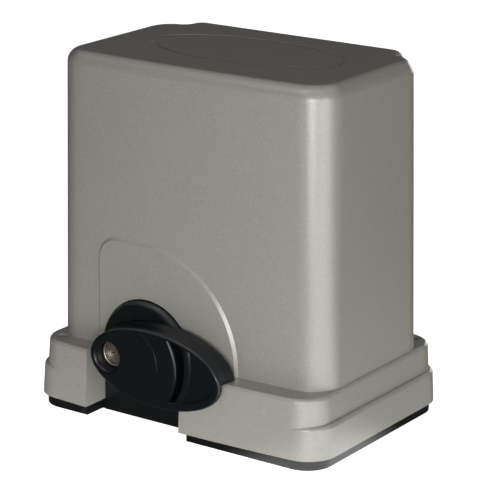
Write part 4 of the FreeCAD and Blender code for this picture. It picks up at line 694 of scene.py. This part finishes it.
def turned(title, x, z, profile, steps=144):
    """Solid turned about a line along Y from the (radius, y) corners of its closed half section."""
    bm = bmesh.new()
    corners = [bm.verts.new(Vector((x + radius, y, z)) * MM) for radius, y in profile]
    sides = []
    for here, there in zip(range(-1, len(profile) - 1), range(len(profile))):
        if profile[here][0] > 0 or profile[there][0] > 0:
            sides.append(bm.edges.new((corners[here], corners[there])))
    bmesh.ops.spin(bm, geom=corners + sides, cent=Vector((x, 0, z)) * MM, axis=(0, 1, 0),
                   angle=2 * math.pi, steps=steps, use_merge=True)
    bmesh.ops.remove_doubles(bm, verts=bm.verts, dist=1e-7)
    return finished(title, bm)


def rounded_sink(title, x, z, radius, mouth_y, floor_y, size, floor_radius=None):
    """Cutter for a round sink whose mouth is rounded over."""
    profile = [(0, floor_y), (floor_radius or radius, floor_y)]
    profile += [(radius + step_in, mouth_y + size - step_up) for step_in, step_up in quarter(size)]
    return turned(title, x, z, profile + [(radius + size, mouth_y - 5), (0, mouth_y - 5)])


def dome_y(radius):
    rise = handle_rim_y - handle_front_y
    sphere = (hub_radius ** 2 + rise ** 2) / (2 * rise)
    return handle_front_y + sphere - math.sqrt(sphere ** 2 - radius ** 2)


def lens_block():
    """The handle's outline from back to front: a lip, a hollow side and a rounded front edge."""
    sections = [(lens_loop(handle_flare - 0.5), -handle_back_y),
                (lens_loop(handle_flare), 0.5 - handle_back_y),
                (lens_loop(handle_flare), handle_lip - handle_back_y)]
    low = handle_lip - handle_back_y
    rise = -handle_waist_y - low
    for index in range(1, 9):
        share = index / 8.0
        sections.append((lens_loop(handle_flare * (1 - share) ** 2), low + rise * share))
    top = -handle_front_y
    for step_in, step_up in quarter(handle_round, 10):
        sections.append((lens_loop(-step_in), top - handle_round + step_up))
    return along_y(stacked_solid("release_handle_shell", sections))


def below_ledge():
    """What the handle leaves free below the cover's ledge, behind a thin web."""
    below = block("below", shaft_x - 200, shaft_x + 200, handle_web_y, handle_back_y + 1, -50,
                  ledge_z + handle_gap)
    hub = lying_rod("hub", shaft_x, shaft_z, hub_radius, handle_web_y - 1, handle_back_y + 2, 144)
    deep = lying_rod("deep", shaft_x, shaft_z, handle_deep_radius, handle_web_y - 1, handle_back_y + 2, 144)
    beside = block("beside", shaft_x, shaft_x + 200, handle_web_y - 2, handle_back_y + 3,
                   well_low_z + handle_gap, ledge_z + 3)
    return joined(below, [("DIFFERENCE", hub), ("DIFFERENCE", joined(deep, [("INTERSECT", beside)]))])


def hub_column():
    """What stays of the hub inside the dish: a column with a rounded front edge."""
    inner = hub_radius - hub_edge_round
    edge_y = dome_y(inner)
    profile = [(0, handle_back_y + 1), (hub_radius, handle_back_y + 1)]
    profile += [(hub_radius - step_in, edge_y + hub_edge_round - step_up)
                for step_in, step_up in quarter(hub_edge_round, 10)]
    profile += [(inner, handle_front_y - 6), (0, handle_front_y - 6)]
    return turned("hub_column", shaft_x, shaft_z, profile)


def above_hub():
    """The hub's column, kept clear of the bead."""
    return lying_rod("above_hub", shaft_x, shaft_z, hub_radius + 1.0, handle_front_y - 6,
                     handle_back_y + 1, 144)


def dish_block(rounded):
    """The dish's outline; rounded at its floor and mouth, or straight and deep."""
    if not rounded:
        loop = lens_loop(-dish_rim - 0.3, dish_rise)
        sections = [(loop, -handle_back_y), (loop, 3 - handle_rim_y)]
        return along_y(stacked_solid("dish", sections))
    low, high = -dish_floor_y, -handle_rim_y
    sections = [(lens_loop(-dish_rim - dish_round + step_up, dish_rise), low + step_in)
                for step_in, step_up in quarter(dish_round, 5)]
    size = high - low - dish_round
    sections += [(lens_loop(-dish_rim + step_in, dish_rise), low + dish_round + step_up)
                 for step_in, step_up in quarter(size, 5)[1:]]
    sections.append((lens_loop(-dish_rim + size, dish_rise), high + 5))
    return along_y(stacked_solid("dish", sections))


def face_ridge():
    """Fine curved ridge on the hub's face, fading towards its ends."""
    count = 40
    loops = []
    for index in range(count + 1):
        share = index / count
        turn = math.radians(ridge_start - ridge_turn * share)
        height = ridge_height * math.sin(math.pi * min(1.0, 0.12 + share * 0.86)) ** 0.5
        loop = []
        for aside, y in ((-1.3, 0.4), (0.0, -height), (0.45, 0.4)):
            reach = ridge_radius + aside
            loop.append((shaft_x + reach * math.cos(turn), dome_y(reach) + y,
                         shaft_z + reach * math.sin(turn)))
        loops.append(loop)
    return extruded("face_ridge", loops)


def groove_bead():
    """Raised bead along the groove's far edge, rounded down into the dish."""
    start = groove_radius + 0.05
    crest = start + bead_edge_round
    profile = [(start, bead_y + bead_depth)]
    profile += [(start + step_in, bead_y + bead_edge_round - step_up)
                for step_in, step_up in quarter(bead_edge_round, 6)]
    for index in range(1, 9):
        turn = math.radians(5.0 * index)
        profile.append((crest + bead_round * math.sin(turn), bead_y + bead_round * (1 - math.cos(turn))))
    return turned("groove_bead", groove_x, groove_z, profile + [(profile[-1][0], bead_y + bead_depth)])


def make_handle():
    right = (shaft_x, shaft_x + 200, handle_front_y - 9, handle_back_y + 2, shaft_z - 80, shaft_z + 80)
    handle = lens_block()
    dome = [(hub_radius * index / 12.0, dome_y(hub_radius * index / 12.0)) for index in range(13)]
    above = turned("above", shaft_x, shaft_z, dome + [(130, handle_rim_y), (130, -115), (0, -115)])
    groove = rounded_sink("groove", groove_x, groove_z, groove_radius, dish_floor_y, groove_floor_y,
                          groove_lip_round, groove_radius - 0.6)
    groove = joined(groove, [("INTERSECT", dish_block(False)), ("INTERSECT", block("right", *right))])
    pocket = joined(dish_block(True), [("UNION", groove), ("DIFFERENCE", hub_column())])
    steps = [("DIFFERENCE", below_ledge()), ("DIFFERENCE", above), ("DIFFERENCE", pocket)]
    bead = joined(groove_bead(), [("INTERSECT", lens_block()), ("INTERSECT", block("right", *right)),
                                  ("DIFFERENCE", above_hub())])
    steps.append(("UNION", bead))
    steps.append(("UNION", face_ridge()))
    steps.append(("DIFFERENCE", rounded_sink("lock_recess", lock_x, lock_z, lock_recess_radius, handle_rim_y,
                                             lock_floor_y, lock_recess_round, lock_recess_radius - 0.3)))
    steps.append(("DIFFERENCE", lying_rod("lock_bore", lock_x, lock_z, lock_bore_radius, handle_front_y,
                                          handle_back_y + 2)))
    steps.append(("UNION", lying_rod("spigot", shaft_x, shaft_z, spigot_radius, handle_back_y - 1,
                                     spigot_back_y)))
    steps.append(("DIFFERENCE", block("square", shaft_x - spindle_square, shaft_x + spindle_square,
                                      spindle_front_y, -70,
                                      shaft_z - spindle_square, shaft_z + spindle_square)))
    return joined(handle, steps)


def make_lock_ring():
    """Thin ring with a fully rounded front edge."""
    inner = lock_ring_radius - 2 * lock_ring_round
    profile = [(inner, lock_floor_y), (lock_ring_radius, lock_floor_y)]
    for index in range(0, 13):
        turn = math.radians(15.0 * index)
        profile.append((lock_ring_radius - lock_ring_round * (1 - math.cos(turn)),
                        lock_front_y + lock_ring_round * (1 - math.sin(turn))))
    return turned("lock_ring_skin", lock_x, lock_z, profile, 96)


def make_lock_plug():
    """Plug set back inside the ring, its face sinking in steps to the keyhole."""
    face = lock_front_y + 0.9
    back = lock_front_y + 1.75
    profile = [(0, face + 1.3), (1.2, face + 1.2), (4.2, face + 0.35), (4.7, face), (5.6, face),
               (5.9, face + 0.35), (6.3, face + 0.35), (6.6, face), (8.0, face), (8.5, face + 0.4),
               (8.5, back), (7.0, back),
               (7.0, handle_back_y), (4.0, handle_back_y), (4.0, plug_tail_y), (0, plug_tail_y)]
    plug = turned("lock_plug_skin", lock_x, lock_z, profile, 96)
    slot = block("key_slot", lock_x - 3.6, lock_x + 3.6, face - 1, face + 6, lock_z - 0.6, lock_z + 0.6)
    wide = block("key_wide", lock_x - 1.6, lock_x + 1.8, face - 1, face + 5, lock_z - 1.5, lock_z + 1.2)
    return joined(plug, [("DIFFERENCE", slot), ("DIFFERENCE", wide)])


# ---------------------------------------------------------------- pieces
def dress(piece, node, angle, edge_width=0.0):
    """Smooth shading between real edges, a fine rounding along them, and the node's body and finish."""
    mesh = piece.data
    mesh.shade_smooth()
    mesh.set_sharp_from_angle(angle=math.radians(angle))
    if edge_width:
        rounding = piece.modifiers.new("fine_edges", "BEVEL")
        rounding.width = edge_width * MM
        rounding.segments = 2
        rounding.limit_method = "ANGLE"
        rounding.angle_limit = math.radians(35)
    weighted = piece.modifiers.new("even_normals", "WEIGHTED_NORMAL")
    weighted.keep_sharp = True
    weighted.weight = 100
    slot_name = node_slot[node]
    mesh.materials.clear()
    mesh.materials.append(materials[slot_name])
    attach(piece, node_body[node])
    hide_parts(node)


def smooth_copy(title, node, angle=14.0):
    """A copy of a CAD node with joined points and smooth shading between its real edges."""
    source = frame["nodes"][node]
    bm = bmesh.new()
    bm.from_mesh(source.data)
    bmesh.ops.remove_doubles(bm, verts=bm.verts, dist=1e-6)
    bmesh.ops.dissolve_degenerate(bm, edges=bm.edges, dist=1e-7)
    mesh = bpy.data.meshes.new(title)
    bm.to_mesh(mesh)
    bm.free()
    piece = link(title, mesh)
    dress(piece, node, angle)
    return piece


record = frame["record"]
node_slot = {part["node"]: part["material_slot"] for part in record["subparts"]}
node_body = {node: body for body, members in record["behaviour"]["bodies"].items() for node in members}

make_camera()
make_world()
make_floor()
# azimuth, elevation, distance, size, power and colour of each light
area_light("key", 30.0, 7.0, 1.3, 0.6, 8.8, (1.0, 0.995, 0.97))
area_light("side", 68.0, 7.0, 1.3, 0.8, 3.9, (1.0, 0.995, 0.97))
area_light("above", -20.0, 66.0, 1.4, 0.6, 1.8, (1.0, 0.91, 0.97))
area_light("behind", 183.0, 6.0, 1.8, 0.8, 6.0, (1.0, 0.99, 0.97))
groups = {"finish": make_finish_group()}
materials = make_materials()

for node, obj in frame["nodes"].items():
    obj.data.materials.clear()
    obj.data.materials.append(materials[node_slot[node]])

dress(make_cover(), "cover", 30.0, 0.4)
dress(make_handle(), "release_handle", 32.0, 0.25)
dress(make_lock_ring(), "lock_ring", 32.0)
dress(make_lock_plug(), "lock_plug", 32.0, 0.08)
for node in ("gear_housing", "lock_barrel", "drive_pinion",
             "output_shaft", "rear_bearing_cover", "pinion_washer", "pinion_screw", "cover_screws"):
    smooth_copy(node + "_skin", node)

bpy.context.scene.view_settings.view_transform = "Standard"
